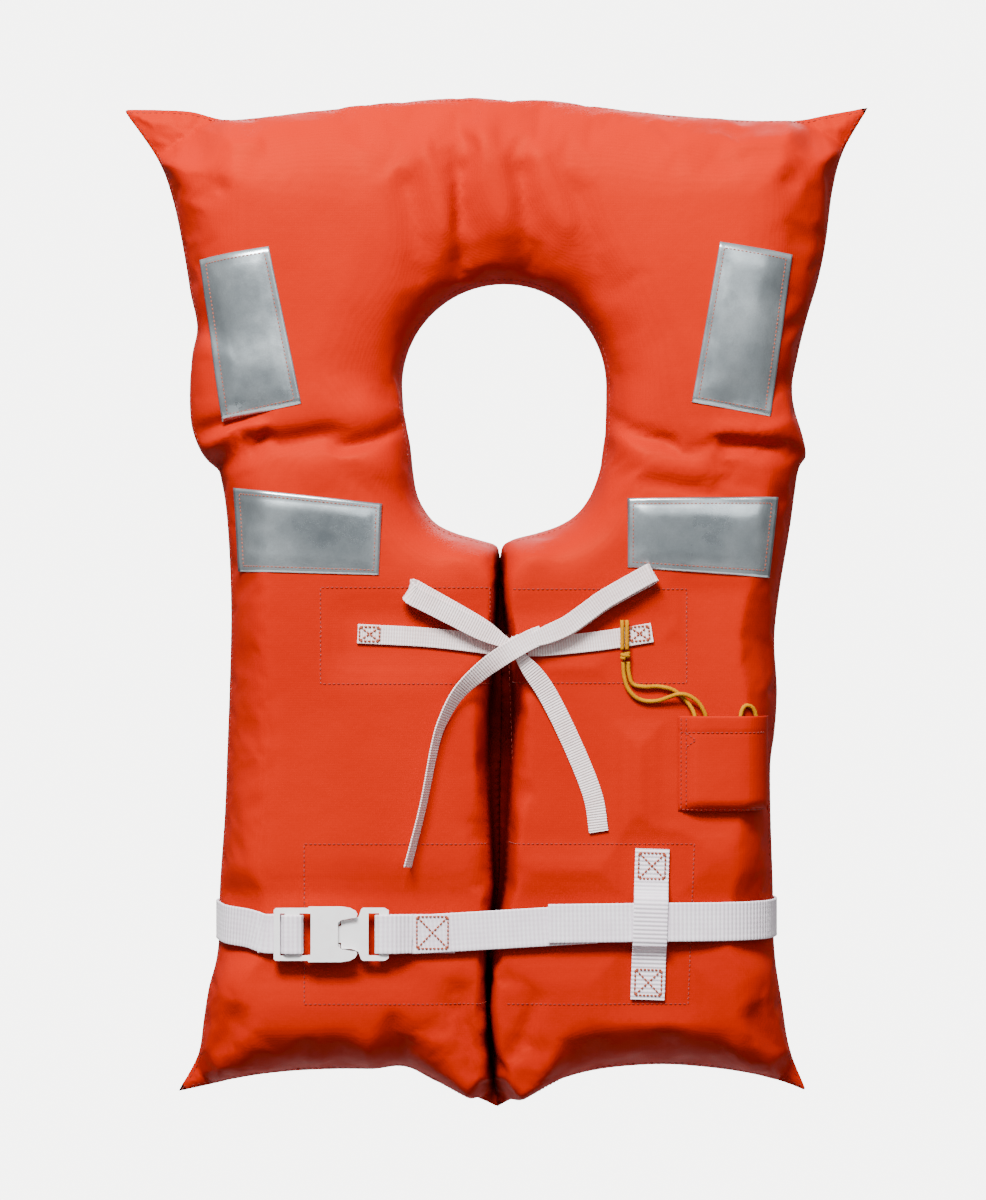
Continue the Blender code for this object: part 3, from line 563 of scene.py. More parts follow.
def is_inside(points, loop):
    """Whether each point is inside a closed loop."""
    start, end = loop, np.roll(loop, -1, axis=0)
    x, z = points[:, 0, None], points[:, 1, None]
    spans = (start[:, 1] > z) != (end[:, 1] > z)
    rise = np.where(end[:, 1] == start[:, 1], 1e-9, end[:, 1] - start[:, 1])
    cross = start[:, 0] + (z - start[:, 1]) * (end[:, 0] - start[:, 0]) / rise
    return (spans & (x < cross)).sum(1) % 2 == 1


def gap_sides(z):
    """The x of the stuffed panels' edges on each side of the front gap, at heights z."""
    levels, left, right = np.array(GAP_EDGES, float).T
    return np.interp(z, levels, left), np.interp(z, levels, right)


def stuffed_loop(loop):
    """The stuffed part's outline: flat corners cut off at their bases, and the gap as wide as it shows."""
    x, z = loop.T
    left, right = gap_sides(z)
    middle = (left + right) / 2
    in_gap = (np.abs(x - middle) < 7) & (z < GAP_TOP - 1) & (z > GAP_FOOT + 1)
    loop = np.stack([np.where(in_gap, np.where(x < middle, left, right), x), z], axis=1)
    keep = np.ones(len(loop), bool)
    for first, last in EARS:
        a = int(np.argmin(((loop - first) ** 2).sum(1)))
        b = int(np.argmin(((loop - last) ** 2).sum(1)))
        span = range(a + 1, b) if a < b else [*range(a + 1, len(loop)), *range(b)]
        keep[list(span)] = False
    return loop[keep]


def smooth_step(value, low, high):
    """0 below low and 1 above high, with a smooth rise between them."""
    t = np.clip((value - low) / (high - low), 0, 1)
    return t * t * (3 - 2 * t)


def inward_of(loop):
    """The direction into a clockwise loop at each of its points."""
    along = unit(np.roll(loop, -1, axis=0) - np.roll(loop, 1, axis=0))
    return np.stack([along[:, 1], -along[:, 0]], axis=1)


RINGS = (0, 1.2, 3.6, 7.0, 11.2, 16.0, 21.5, 27.5, 33.5)  # how far in each ring of points runs
LEAST_GAP = 0.55 * SPACING  # between neighbours in a ring
FINE_ACROSS, FINE_UP = 2.6, 2.9  # point spacing in the flat corners


def ring_points(loop, stuffed, inset):
    """A ring of points at an inset from the stuffed part's edge, thinned out where they crowd."""
    ring = stuffed + inward_of(stuffed) * inset
    good = is_inside(ring, loop) & (edge_distance(ring, loop) > 1.0)
    if inset:
        good &= is_inside(ring, stuffed) & (edge_distance(ring, stuffed) > 0.97 * inset)
    kept = []
    for point in ring[good]:
        if not kept or math.dist(kept[-1], point) >= LEAST_GAP:
            kept.append(tuple(point))
    if len(kept) > 2 and math.dist(kept[0], kept[-1]) < LEAST_GAP:
        kept.pop()
    return kept


def lattice_points(loop, stuffed):
    """An even lattice of points, well inside the rings."""
    low, high = loop.min(0), loop.max(0)
    pitch = SPACING * 1.05
    grid = []
    for row, z in enumerate(np.arange(low[1], high[1], pitch * math.sqrt(3) / 2)):
        grid += [(x + pitch / 2 * (row % 2), z) for x in np.arange(low[0], high[0], pitch)]
    grid = np.array(grid)
    grid = grid[is_inside(grid, stuffed)]
    return grid[edge_distance(grid, stuffed) > RINGS[-1] + 0.7 * SPACING]


def corner_points(loop, stuffed):
    """Closer points in the flat corners that stand out past the stuffed part."""
    low, high = loop.min(0), loop.max(0)
    across, up = np.arange(low[0], high[0], FINE_ACROSS), np.arange(low[1], high[1], FINE_UP)
    fine = np.array([(x, z) for x in across for z in up])
    fine = fine[is_inside(fine, loop) & ~is_inside(fine, stuffed)]
    return fine[(edge_distance(fine, loop) > 1.4) & (edge_distance(fine, stuffed) > 1.5)]


def plan_layout(loop):
    """One sheet's plan points and triangles, and which of its points are the rim's."""
    count = len(loop)
    stuffed = stuffed_loop(loop)
    points = [tuple(p) for p in loop]
    edges = [(i, (i + 1) % count) for i in range(count)]
    for inset in RINGS:
        ring = ring_points(loop, stuffed, inset)
        places = range(len(points), len(points) + len(ring))
        points += ring
        pairs = zip(places, [*places[1:], *places[:1]])
        edges += [(a, b) for a, b in pairs if math.dist(points[a], points[b]) < 2.6 * SPACING]
    points += [tuple(p) for p in (*lattice_points(loop, stuffed), *corner_points(loop, stuffed))]
    plan = [Vector(p) for p in points]
    made, _, faces, origins, _, _ = delaunay_2d_cdt(plan, edges, [], 1, 1e-5)
    order = {source[0]: new for new, source in enumerate(origins) if source}
    made = np.array([tuple(p) for p in made])
    middles = np.array([made[list(face)].mean(0) for face in faces])
    faces = [face for face, kept in zip(faces, is_inside(middles, loop)) if kept]
    return made, faces, [order[i] for i in range(count)]


def stroke(plan, path, width, height):
    """A soft ridge (or a crease, where height is below 0) along a path on the sheet."""
    path = np.array(path, float)
    start, step = path[:-1], np.diff(path, axis=0)
    gap = plan[:, None, :] - start
    along = np.clip((gap * step).sum(2) / (step**2).sum(1), 0, 1)
    away = np.sqrt(((gap - along[..., None] * step) ** 2).sum(2)).min(1)
    return height * np.exp(-((away / width) ** 2))


def soft_box(plan, low, high, edge):
    """1 inside a box of the sheet, falling to 0 over edge mm outside it."""
    x, z = plan[:, 0], plan[:, 1]
    across = smooth_step(x, low[0] - edge, low[0]) * (1 - smooth_step(x, high[0], high[0] + edge))
    return across * smooth_step(z, low[1] - edge, low[1]) * (1 - smooth_step(z, high[1], high[1] + edge))


# Folds of the front sheet: (path, half width, height), in mm
FOLDS = (
    (((-52, 84), (-46, 60), (-36, 24)), 8, 5.4), (((-12, 94), (-6, 66), (3, 32)), 10, 6.2),
    (((24, 77), (31, 58), (41, 34)), 8, 4.2), (((-63, 58), (-56, 6)), 10, -4.6),
    (((-29, 70), (-26, 12)), 8, -5.2), (((12, 66), (16, 14)), 9, -5.4), (((50, 52), (64, -6)), 13, -4.0),
    (((-190, -120), (-176, -111.5), (-167, -107.5), (-153, -101)), 4.0, -8.0),
    (((-204, -101), (-181, -93), (-156, -87)), 5.5, -3.4), (((-196, -109), (-180, -102), (-158, -96)), 5, 3),
    (((-154, -93), (-122, -83), (-74, -88)), 13, 3.5), (((-150, -104), (-112, -99)), 7, -2.2),
    (((-104, -109), (-80, -101), (-61, -90)), 5, -3.8), (((-120, -122), (-90, -119), (-64, -121)), 12, 2.6),
    (((200, -112), (176, -108), (143, -105)), 4.5, -6.5), (((194, -90), (170, -97), (140, -97)), 6, 3.0),
    (((66, -88), (86, -98), (108, -105)), 5, -3.8), (((70, -100), (96, -118), (124, -124)), 9, 2.4),
    (((186, -62), (172, -70), (150, -72)), 5, -3.0), (((-196, -30), (-182, -36)), 5, -3.4),
    (((197, -24), (183, -32)), 5, -3.0), (((-238, 108), (-206, 86), (-182, 58)), 6, -4.5),
    (((-222, 100), (-196, 92), (-160, 88)), 6, 3.2), (((232, 110), (204, 90), (184, 62)), 6, -4.5),
    (((214, 104), (190, 94), (150, 86)), 6, 3.2), (((-68, -514), (-66, -496), (-70, -478)), 6, -4.6),
    (((-84, -512), (-88, -490)), 7, 3.0), (((-50, -512), (-46, -492)), 7, 3.0),
    (((-204, -522), (-184, -498), (-172, -474)), 6, -4.0), (((190, -520), (174, -496), (164, -474)), 6, -4.0),
    (((-172, -516), (-160, -494)), 6, 2.4), (((160, -514), (150, -494)), 6, 2.4),
    (((-9, -512), (-22, -486), (-30, -458)), 6, -3.2), (((-4, -512), (12, -488), (22, -462)), 6, -3.4),
    (((66, -512), (62, -496)), 6, -2.2), (((110, -510), (108, -496)), 6, -2.2),
    (((-130, -512), (-126, -496)), 6, -2.0),
    (((12, -262), (34, -256), (60, -262)), 7, -1.2), (((-14, -262), (-34, -272), (-46, -300)), 9, -1.4),
    (((14, -330), (34, -346), (46, -370)), 10, -1.3),
    (((-30, -178), (-16, -200), (-12, -230)), 6, 1.6), (((22, -178), (12, -204), (12, -240)), 6, 1.6),
)
# Folds of the back sheet: the shoulder crease that it folds on, and gathers at its corners
BACK_FOLDS = (
    (((-186, -118), (-120, -113), (-62, -110)), 6, -4.0), (((66, -108), (130, -112), (196, -114)), 6, -4.0),
    (((-238, 108), (-204, 84), (-180, 58)), 7, -3.6), (((232, 110), (204, 88), (184, 62)), 7, -3.6),
    (((-204, -522), (-182, -494)), 6, -3.0), (((190, -520), (174, -494)), 6, -3.0),
    (((-150, -512), (-146, -490)), 6, -2.0), (((-60, -512), (-62, -492)), 6, -2.4),
    (((60, -512), (58, -494)), 6, -2.2), (((120, -508), (118, -492)), 6, -2.0),
    (((-40, 108), (-36, 70), (-30, 30)), 9, -2.4), (((30, 108), (26, 70), (18, 30)), 9, -2.4),
)
# Places on the front where other pieces lie against it, as low and high corners, and the slope round them
PRESSED = (
    ((-190, -427), (190, -400.5)), ((-152, -441), (-66, -400)), ((82, -465), (109, -364)),
    ((-96, -237), (98, -219)), ((72, -280), (168, -236)), ((108, -344), (172, -278)),
    ((20, -358), (66, -262)), ((122, -280), (162, -204)),
)
PRESS_EDGE = 30.0


def sheet_depths(plan, loop, side):
    """How far one sheet stands off the seam plane at each plan point, in mm."""
    stuffed = stuffed_loop(loop)
    inside = np.where(is_inside(plan, stuffed), edge_distance(plan, stuffed), 0)
    full = edge_distance(plan, loop)
    x, z = plan[:, 0], plan[:, 1]
    belt = 1 - smooth_step(np.abs(z - BELT_Z), 14, 38)
    near_gap = (1 - smooth_step(np.abs(x + 2), 16, 50)) * (1 - smooth_step(z, GAP_TOP - 26, GAP_TOP + 2))
    foot = 1 - smooth_step(z, FOOT_Z + 20, FOOT_Z + 80)
    radius = 31 + 26 * smooth_step(z, -40, 60) + 20 * foot + 9 * belt * (1 - near_gap)
    radius += (10 - radius) * near_gap
    power = 2.25 - (0.25 * belt + 0.2 * foot) * (1 - near_gap) + 1.2 * near_gap
    share = (1 - (1 - np.clip(inside / radius, 0, 1)) ** power) ** (1 / power)
    depth = (FRONT_DEPTH if side < 0 else BACK_DEPTH) * share
    depth += (1 - share) * 0.45 * np.minimum(full, 9)
    waves = np.sin(x / 31 + 1.3 * np.sin(z / 47)) * np.sin(z / 39 + 0.8 * np.sin(x / 29))
    depth += share * waves * (1.1 if side < 0 else 0.8)
    pillow = smooth_step(inside, 10, 70) * (0.35 + 0.65 * smooth_step(z, -120, -60))
    depth += 4.0 * pillow if side < 0 else 1.2 * pillow * (z > -110)
    return depth, full, share


def rim_puckers(plan, loop, full, side):
    """Small gathers that run in from the sewn edge."""
    start = np.argmin(((plan[:, None, :] - loop[None, ::3, :]) ** 2).sum(2), axis=1) * 3
    run = start * SPACING + 40 * side
    x, z = plan[:, 0], plan[:, 1]
    gather = np.sin(run / 4.3 + 2.6 * np.sin(run / 41)) * (0.55 + 0.45 * np.sin(run / 67 + 1))
    shoulders = np.exp(-(((z - SHOULDER_Z) / 26) ** 2))
    foot = 1 - smooth_step(z, FOOT_Z + 15, FOOT_Z + 50)
    neck = 1 - smooth_step(np.hypot(x - NECK_CENTRE[0], z - NECK_CENTRE[1]) - NECK_RADIUS, 8, 26)
    amount = 0.7 + 0.9 * shoulders + 1.0 * foot + 0.9 * neck * (z > -90)
    return gather * amount * np.minimum(full / 7, 1) * np.exp(-full / 15)


def pinned_group(obj, indices):
    group = obj.vertex_groups.new(name="seam")
    group.add([int(i) for i in indices], 1.0, "REPLACE")
    return group.name


def coordinates(mesh):
    flat = np.empty(len(mesh.vertices) * 3, np.float32)
    mesh.vertices.foreach_get("co", flat)
    return flat.reshape(-1, 3).astype(float) * 1000


def set_coordinates(mesh, rows):
    mesh.vertices.foreach_set("co", (rows / 1000).astype(np.float32).ravel())
    mesh.update()


def simulate_cloth(obj, pins, frames=18, pressure=3.2, growth=0.018, cap=6.0):
    """Inflates a sewn shell as cloth that is slightly too big for it, and caps how far a point moves."""
    before = coordinates(obj.data)
    cloth = obj.modifiers.new("Cloth", "CLOTH")
    settings = cloth.settings
    settings.quality = 5
    settings.mass = 0.25
    settings.tension_stiffness = settings.compression_stiffness = 18
    settings.shear_stiffness = 6
    settings.bending_stiffness = 0.4
    settings.use_pressure = True
    settings.uniform_pressure_force = pressure
    settings.shrink_min = -growth
    settings.effector_weights.gravity = 0
    settings.vertex_group_mass = pinned_group(obj, pins)
    scene = bpy.context.scene
    for frame_number in range(1, frames + 1):
        scene.frame_set(frame_number)
    evaluated = obj.evaluated_get(bpy.context.evaluated_depsgraph_get())
    moved = coordinates(evaluated.data) - before
    obj.modifiers.remove(cloth)
    scene.frame_set(1)
    far = np.linalg.norm(moved, axis=1, keepdims=True)
    set_coordinates(obj.data, before + moved * cap * np.tanh(far / cap) / np.maximum(far, 1e-6))


def subdivide(obj, sharp_edges):
    """One Catmull-Clark subdivision, with the seam kept crisp."""
    crease = obj.data.attributes.new("crease_edge", "FLOAT", "EDGE")
    wanted = {tuple(sorted(edge)) for edge in sharp_edges}
    edges = [tuple(sorted(edge.vertices)) for edge in obj.data.edges]
    crease.data.foreach_set("value", [0.9 if edge in wanted else 0.0 for edge in edges])
    modifier = obj.modifiers.new("Subdivision", "SUBSURF")
    modifier.levels = modifier.render_levels = 1
    evaluated = obj.evaluated_get(bpy.context.evaluated_depsgraph_get())
    mesh = bpy.data.meshes.new_from_object(evaluated)
    obj.modifiers.clear()
    obj.data = mesh
    mesh.shade_smooth()


def press(rows):
    """Keeps the front behind the pieces that lie on it, and the back behind the belt."""
    _, y, z = rows.T.copy()
    pressed = np.zeros(len(rows))
    for low, high in PRESSED:
        pressed = np.maximum(pressed, soft_box(rows[:, [0, 2]], low, high, PRESS_EDGE))
    loose = 50.5 + 6 * smooth_step(z, GAP_TOP - 26, GAP_TOP + 60)
    limit = -(loose + (FRONT_DEPTH - 0.5 - loose) * pressed)
    give = 0.5 + 1.3 * (1 - pressed)  # how gently a point is held back
    soft = limit + np.log1p(np.exp(np.clip((y - limit) / give, -60, 60))) * give
    front = (y < 0) & (y < limit + 9)
    rows[:, 1] = np.where(front, soft, np.minimum(y, BACK_DEPTH + 0.1))


def open_gap(rows):
    """Keeps the stuffed edges apart in front of their seams, and says how much painted shade each point gets
    deep in the gap, 0 to 1.
    """
    x, y, z = rows.T.copy()
    left, right = gap_sides(z)
    middle = (left + right) / 2
    along = smooth_step(z, GAP_FOOT + 2, GAP_FOOT + 12) * (1 - smooth_step(z, GAP_TOP - 8, GAP_TOP + 1))
    inside = (np.abs(x - middle) < 16) & (y < 0)
    room = 12 * (1 - smooth_step(-y, 1, 8)) + 12 * (1 - along)
    held = np.where(x < middle, np.minimum(x, left + room), np.maximum(x, right - room))
    rows[:, 0] = np.where(inside, held, x)
    near = 1 - smooth_step(np.maximum(left - x, x - right), 0.5, 3.5)
    # Painted shade: strongest on the gap's walls, well behind the front face.
    return near * along * smooth_step(y, -43, -33)


LAP_ACROSS, LAP_BACK = 1.7, 1.1  # how far the seams move past each other behind the gap


def gap_lap(plan, full):
    """How strongly each point is part of the seams that lap behind the front gap, and which way it moves."""
    x, z = plan.T
    left, right = gap_sides(z)
    middle = (left + right) / 2
    zone = smooth_step(z, GAP_FOOT - 8, GAP_FOOT + 2) * (1 - smooth_step(z, GAP_TOP - 12, GAP_TOP))
    zone *= 1 - smooth_step(np.abs(x - middle), 9, 14)
    return zone * (1 - smooth_step(full, 0.5, 6)), np.where(x < middle, 1.0, -1.0)


def sheet_points(plan, loop, rim, side):
    """The points of the front (-1) or back (1) sheet, with its folds and gathers."""
    depth, full, share = sheet_depths(plan, loop, side)
    for path, width, height in FOLDS if side < 0 else BACK_FOLDS:
        strength = 1.35 if side < 0 and path[0][1] < -20 else 1.0
        depth += stroke(plan, path, width, strength * height) * np.minimum(share * 1.6, 1)
    depth += rim_puckers(plan, loop, full, side)
    depth[rim] = 0
    lap, turn = gap_lap(plan, full)
    x = plan[:, 0] + LAP_ACROSS * lap * turn
    return np.stack([x, side * np.maximum(depth, 0.0) - LAP_BACK * lap * turn, plan[:, 1]], axis=1)


def add_shell():
    """Both sheets, joined at the rim, as one closed mesh. It returns the shell and its outline."""
    loop = outline_points()
    plan, triangles, rim = plan_layout(loop)
    count = len(plan)
    rows = [sheet_points(plan, loop, rim, side) for side in (-1, 1)]
    at_rim = np.zeros(count, bool)
    at_rim[rim] = True
    back_index = np.where(at_rim, np.arange(count), 0)
    inner = np.flatnonzero(~at_rim)
    back_index[inner] = count + np.arange(len(inner))
    verts = np.vstack([rows[0], rows[1][inner]])
    faces = []
    for face in triangles:
        a, b, c = (plan[i] for i in face)
        turn = (b[0] - a[0]) * (c[1] - a[1]) - (b[1] - a[1]) * (c[0] - a[0])
        front = tuple(face) if turn > 0 else tuple(reversed(face))
        faces.append(front)
        faces.append(tuple(int(back_index[i]) for i in reversed(front)))
    shell = link_mesh("jacket_shell", verts, faces, FABRIC)
    simulate_cloth(shell, rim)
    subdivide(shell, list(zip(rim, rim[1:] + rim[:1])))
    rows = coordinates(shell.data)
    press(rows)
    painted_gap_shade = open_gap(rows)
    set_coordinates(shell.data, rows)
    # The gap's painted shade, kept as a point attribute for the fabric's colour.
    shade = shell.data.attributes.new("painted_gap_shade", "FLOAT", "POINT")
    shade.data.foreach_set("value", painted_gap_shade.astype(np.float32))
    return shell, loop


class Surface:
    """The shell's surface, to lay other pieces on."""

    def __init__(self, shell):
        points = [tuple(point) for point in coordinates(shell.data)]
        self.tree = BVHTree.FromPolygons(points, [tuple(p.vertices) for p in shell.data.polygons])

    def at(self, x, z, side=-1):
        """The point of the front (-1) or back (1) sheet at a place, and its outward normal."""
        hit, normal, _, _ = self.tree.ray_cast(Vector((x, side * 200, z)), Vector((0, -side, 0)))
        if hit is None:
            hit, normal, _, _ = self.tree.find_nearest(Vector((x, 0, z)))
        if normal.y * side < 0:
            normal = -normal
        return np.array(hit), np.array(normal)

    def line(self, places, spacing=2.0):
        """A route of (x, z) places laid on the front sheet: points and normals."""
        flat = []
        for a, b in zip(places, places[1:]):
            steps = max(1, round(math.dist(a, b) / spacing))
            flat += [np.array(a) + (np.array(b) - np.array(a)) * i / steps for i in range(steps)]
        flat.append(places[-1])
        hits = [self.at(x, z) for x, z in flat]
        return np.array([p for p, _ in hits]), unit(np.array([n for _, n in hits]))


add_camera()
add_sky()
add_lights()
add_floor()
shell, loop = add_shell()
for panel in ("collar", "left", "right"):
    for face in ("front", "back"):
        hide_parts(f"{panel}_{face}_cover", f"{panel}_foam_{face}")
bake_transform(shell)


# ---------------------------------------------------------------- pieces laid on the shell

surface = Surface(shell)


def corner_mix(corners, u, v):
    """A place inside four corners that run clockwise from the top left."""
    top = np.array(corners[0]) * (1 - u) + np.array(corners[1]) * u
    bottom = np.array(corners[3]) * (1 - u) + np.array(corners[2]) * u
    return top * (1 - v) + bottom * v


def add_reflector(name, corners, body, columns=44, rows=26, sewn=3.6):
    """A patch of reflective tape, sewn down near its edge: film that rides over the fabric's softer waves."""
    grid, normals = np.zeros((rows + 1, columns + 1, 3)), np.zeros((rows + 1, columns + 1, 3))
    for i in range(rows + 1):
        for j in range(columns + 1):
            x, z = corner_mix(corners, j / columns, i / rows)
            grid[i, j], normals[i, j] = surface.at(x, z)
    stiff = grid[:, :, 1].copy()
    for _ in range(10):
        padded = np.pad(stiff, 1, mode="edge")
        blurred = (padded[:-2, 1:-1] + padded[2:, 1:-1] + padded[1:-1, :-2] + padded[1:-1, 2:]) / 4
        stiff = 0.5 * stiff + 0.5 * blurred
    grid[:, :, 1] = np.minimum(stiff, grid[:, :, 1] + 0.25)
    normals = unit(normals)
    across, down = np.meshgrid(np.linspace(0, 1, columns + 1), np.linspace(0, 1, rows + 1))
    long_side = math.dist(corners[0], corners[1])
    tall_side = math.dist(corners[0], corners[3])
    edge = np.minimum(np.minimum(across, 1 - across) * long_side, np.minimum(down, 1 - down) * tall_side)
    groove = np.exp(-(((edge - sewn) / 0.9) ** 2))
    lift = 0.95 - 0.3 * groove - 0.35 * np.exp(-((edge / 0.7) ** 2)) + 0.8 * smooth_step(edge, sewn, sewn + 8)
    top = grid + normals * lift[..., None]
    under = grid + normals * 0.1
    verts = np.vstack([top.reshape(-1, 3), under.reshape(-1, 3)])
    count = len(verts) // 2
    faces = slab_faces(rows + 1, columns + 1)
    patch = link_mesh(f"{name}_tape", verts, faces, SILVER)
    ring = [corner_mix(corners, u, v) for u, v in stitch_frame(sewn / long_side, sewn / tall_side)]
    points, outward = surface.line(ring)
    tree = BVHTree.FromPolygons([tuple(p) for p in verts[:count]], [f for f in faces if max(f) < count])
    for k, point in enumerate(points):
        hit = tree.ray_cast(Vector((point[0], -200, point[2])), Vector((0, 1, 0)))[0]
        if hit is not None:
            points[k] = hit
    seam = add_stitches(f"{name}_stitches", [(points, outward)], BROWN_THREAD, *FINE_STITCH)
    assign(patch, body, name)
    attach(seam, body)


def stitch_frame(u, v):
    """A closed rectangle inset by u and v, in shares of a patch."""
    return ((u, v), (1 - u, v), (1 - u, 1 - v), (u, 1 - v), (u, v))


for node, corners, body in (
    ("collar_reflector_left", ((-196, 14), (-150.5, 21), (-129.5, -80), (-181, -91)), "collar"),
    ("collar_reflector_right", ((139, 24), (186, 16.5), (172, -88), (121, -79)), "collar"),
    ("chest_reflector_left", ((-174, -133.5), (-78, -144), (-80, -190), (-171, -187.5)), "fronts"),
    ("chest_reflector_right", ((80, -140.5), (177, -139.5), (171.5, -191.5), (80, -185)), "fronts"),
):
    add_reflector(node, corners, body)

# Reinforcement patches are sewn on from inside, so only their stitch lines show
PATCH_LINES = (
    ((-117.5, -198), (-8.6, -198), (-8.6, -260), (-117.5, -260), (-117.5, -198)),
    ((6, -199), (118, -199), (118, -259.5), (6, -259.5)),
    ((-11, -363), (-128, -363), (-128, -466), (-11, -466)),
    ((4, -363), (123, -363), (119, -466), (2, -466)),
)
lines = [surface.line(path) for path in PATCH_LINES]
patch_stitches = add_stitches("patch_stitches", lines, ORANGE_THREAD, *PLAIN_STITCH)
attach(patch_stitches, "fronts")


def rim_line(points_loop, inset, side):
    """The edge stitching: a line just in from the seam on one sheet, as points and normals."""
    places = points_loop + inward_of(points_loop) * inset
    hits = [surface.at(x, z, side) for x, z in places]
    return np.array([p for p, _ in hits])[1:-1], unit(np.array([n for _, n in hits]))[1:-1]


seen = ~((np.abs(loop[:, 0] + 4) < 12) & (loop[:, 1] < -176))
start = int(np.flatnonzero(~seen)[-1]) + 1
seam_run = np.roll(loop, -start, axis=0)[np.roll(seen, -start)]
edge_lines = [rim_line(seam_run, 2.2, side) for side in (-1, 1)]
edge_stitches = add_stitches("edge_stitches", edge_lines, ORANGE_THREAD, *EDGE_STITCH)
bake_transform(edge_stitches)


# ---------------------------------------------------------------- tie tapes

LAID = -FRONT_DEPTH - CLEAR - TIE / 2  # y of a tape that lies on the front
UPRIGHT, OUTWARD = Vector((0, 0, 1)), Vector((0, 1, 0))


def directions(path):
    rows = np.array([tuple(p) for p in path], float)
    return [Vector(row) for row in unit(np.gradient(rows, axis=0))]


def bow_loop(places, rise, front=-57.6, back=-52.4):
    """A bow loop's path, out in front and back behind, and its width's direction at each point."""
    out = [Vector(row) for row in smooth_route([(x, front, z) for x, z in places], 14)]
    radius = (back - front) / 2
    ahead = (out[-1] - out[-2]).normalized()
    turn = []
    for i in range(1, 6):
        angle = math.pi * i / 6
        back_off = Vector((0, radius * (1 - math.cos(angle)), rise * i / 6))
        turn.append(out[-1] + ahead * radius * math.sin(angle) + back_off)
    count = len(out)
    home = [Vector((p.x, back, p.z + rise * (count - i) / count)) for i, p in enumerate(reversed(out))]
    across = [a.cross(OUTWARD) for a in directions(out)]
    return out + turn + home, across + [across[-1]] * len(turn) + list(reversed(across))


def add_tape(node, path, across, gathered=(0, 0)):
    """One length of the tie tape, carried by the fronts."""
    tape, centre = add_ribbon(f"{node}_woven", path, across, TIE_WIDTH, TIE, TAPE, gathered=gathered)
    assign(tape, "fronts", node)


TAPES = {
    "tie_tape_left": ((-93.7, LAID, -227.7), (-50, LAID, -230), (-18, -49.6, -233.5), (-2, -50.2, -236)),
    "tie_tape_right": ((95.7, LAID, -227), (64, LAID, -232), (30, -49.6, -235.6), (15.8, -50.2, -236)),
}
for node, places in TAPES.items():
    add_tape(node, places, UPRIGHT)
BOW_LOOPS = {
    "bow_loop_left": ((3.6, -235.0), (-4.5, -230.8), (-30, -217.5), (-58.5, -203)),
    "bow_loop_right": ((10.5, -235.2), (17, -232.4), (40.9, -222.4), (64, -206), (94, -189)),
}
BOW_RISE = {"bow_loop_left": 4.5, "bow_loop_right": -1.5}  # how far up each loop's back layer sits
for node, places in BOW_LOOPS.items():
    path, across = bow_loop(places, BOW_RISE[node])
    add_tape(node, path, across, (0.5, 0.5))
# The left tail crosses over the knot and turns edge-on; the right one comes from under it and lies flat
CROSSING = (
    (25, -56.2, -228.4), (17, -58.2, -231.6), (7, -60.4, -237.2), (-3.5, -59.6, -243.8), (-15, -57.6, -252.4),
    (-28.4, -57, -265.3), (-37.6, -56.8, -281), (-43.6, -56.5, -298.3), (-51.5, -56, -338),
    (-61.4, -55.8, -377.5),
)
TWIST = (0, 0, 0, 8, 26, 46, 60, 68, 72, 70)  # degrees that the left tail has turned edge-on by each point
BROAD = (
    (8.2, -56.2, -238.6), (13.4, -54.2, -245.6), (27.7, -50.6, -265.3), (44.2, LAID, -298.3),
    (57.4, LAID, -331.3), (61.4, LAID, -355),
)
across = [a.cross(OUTWARD) * math.cos(math.radians(turn)) + OUTWARD * math.sin(math.radians(turn))
          for a, turn in zip(directions(CROSSING), TWIST)]
add_tape("tie_tail_left", CROSSING, across)
add_tape("tie_tail_right", BROAD, [a.cross(OUTWARD) for a in directions(BROAD)], (0.45, 0))


KNOT_CENTRE = Vector((6.9, -54, -236.3))


def add_knot():
    """The bow's knot: one wrap of tape drawn tight over a bundle of folds."""
    wraps = []
    for k, (lean, radius, width) in enumerate(((33, 6.2, 11.5), (-38, 5.0, 10.0))):
        turn = math.radians(lean)
        path, wide = [], []
        for i in range(13):
            angle = 2 * math.pi * i / 12.5
            reach = radius * (1 + 0.08 * math.cos(2 * angle))
            x, y = reach * math.cos(angle) * 0.9, reach * math.sin(angle) * 0.62 - 0.5 * k
            path.append(KNOT_CENTRE + Vector((x * math.cos(turn), y, x * math.sin(turn))))
            wide.append(Vector((-math.sin(turn), 0, math.cos(turn))))
        wraps.append(add_ribbon(f"knot_wrap_{k}", path, wide, width, 1.3, TAPE, 1.2)[0])
    return wraps


outer_wrap, inner_wrap = add_knot()
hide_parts("tie_knot")
for wrap in (outer_wrap, inner_wrap):
    assign(wrap, "fronts")


# ---------------------------------------------------------------- belt and keeper


def bend_path(path, offset):
    """A plan path moved sideways by offset, to its left as it runs."""
    rows = np.array(path, float)
    along = unit(np.gradient(rows, axis=0))
    return rows + offset * np.stack([along[:, 1], -along[:, 0]], axis=1)


# The stuffed panels' depth where the belt wraps them: (inset from the edge, share of the full depth)
WRAP = ((0.0, 0.0), (2.0, 0.33), (8.0, 0.65), (22.0, 0.9), (45.0, 1.0))
BELT_STAND_OFF = 1.75


def wrap_path(edge, side, middle):
    """Plan path of the belt round one side of the jacket, from the front to the back."""
    front = [(edge - side * inset, -FRONT_DEPTH * share) for inset, share in reversed(WRAP)]
    back = [(edge - side * inset, BACK_DEPTH * share) for inset, share in WRAP[1:]]
    path = bend_path([*front, *back], side * BELT_STAND_OFF)
    return [tuple(p) for p in path if abs(p[0]) > middle]


def add_webbing(node, path, across=UPRIGHT, width=WEBBING_WIDTH, body="fronts"):
    strap, _ = add_ribbon(f"{node}_woven", path, across, width, WEBBING, BELT)
    assign(strap, body, node)


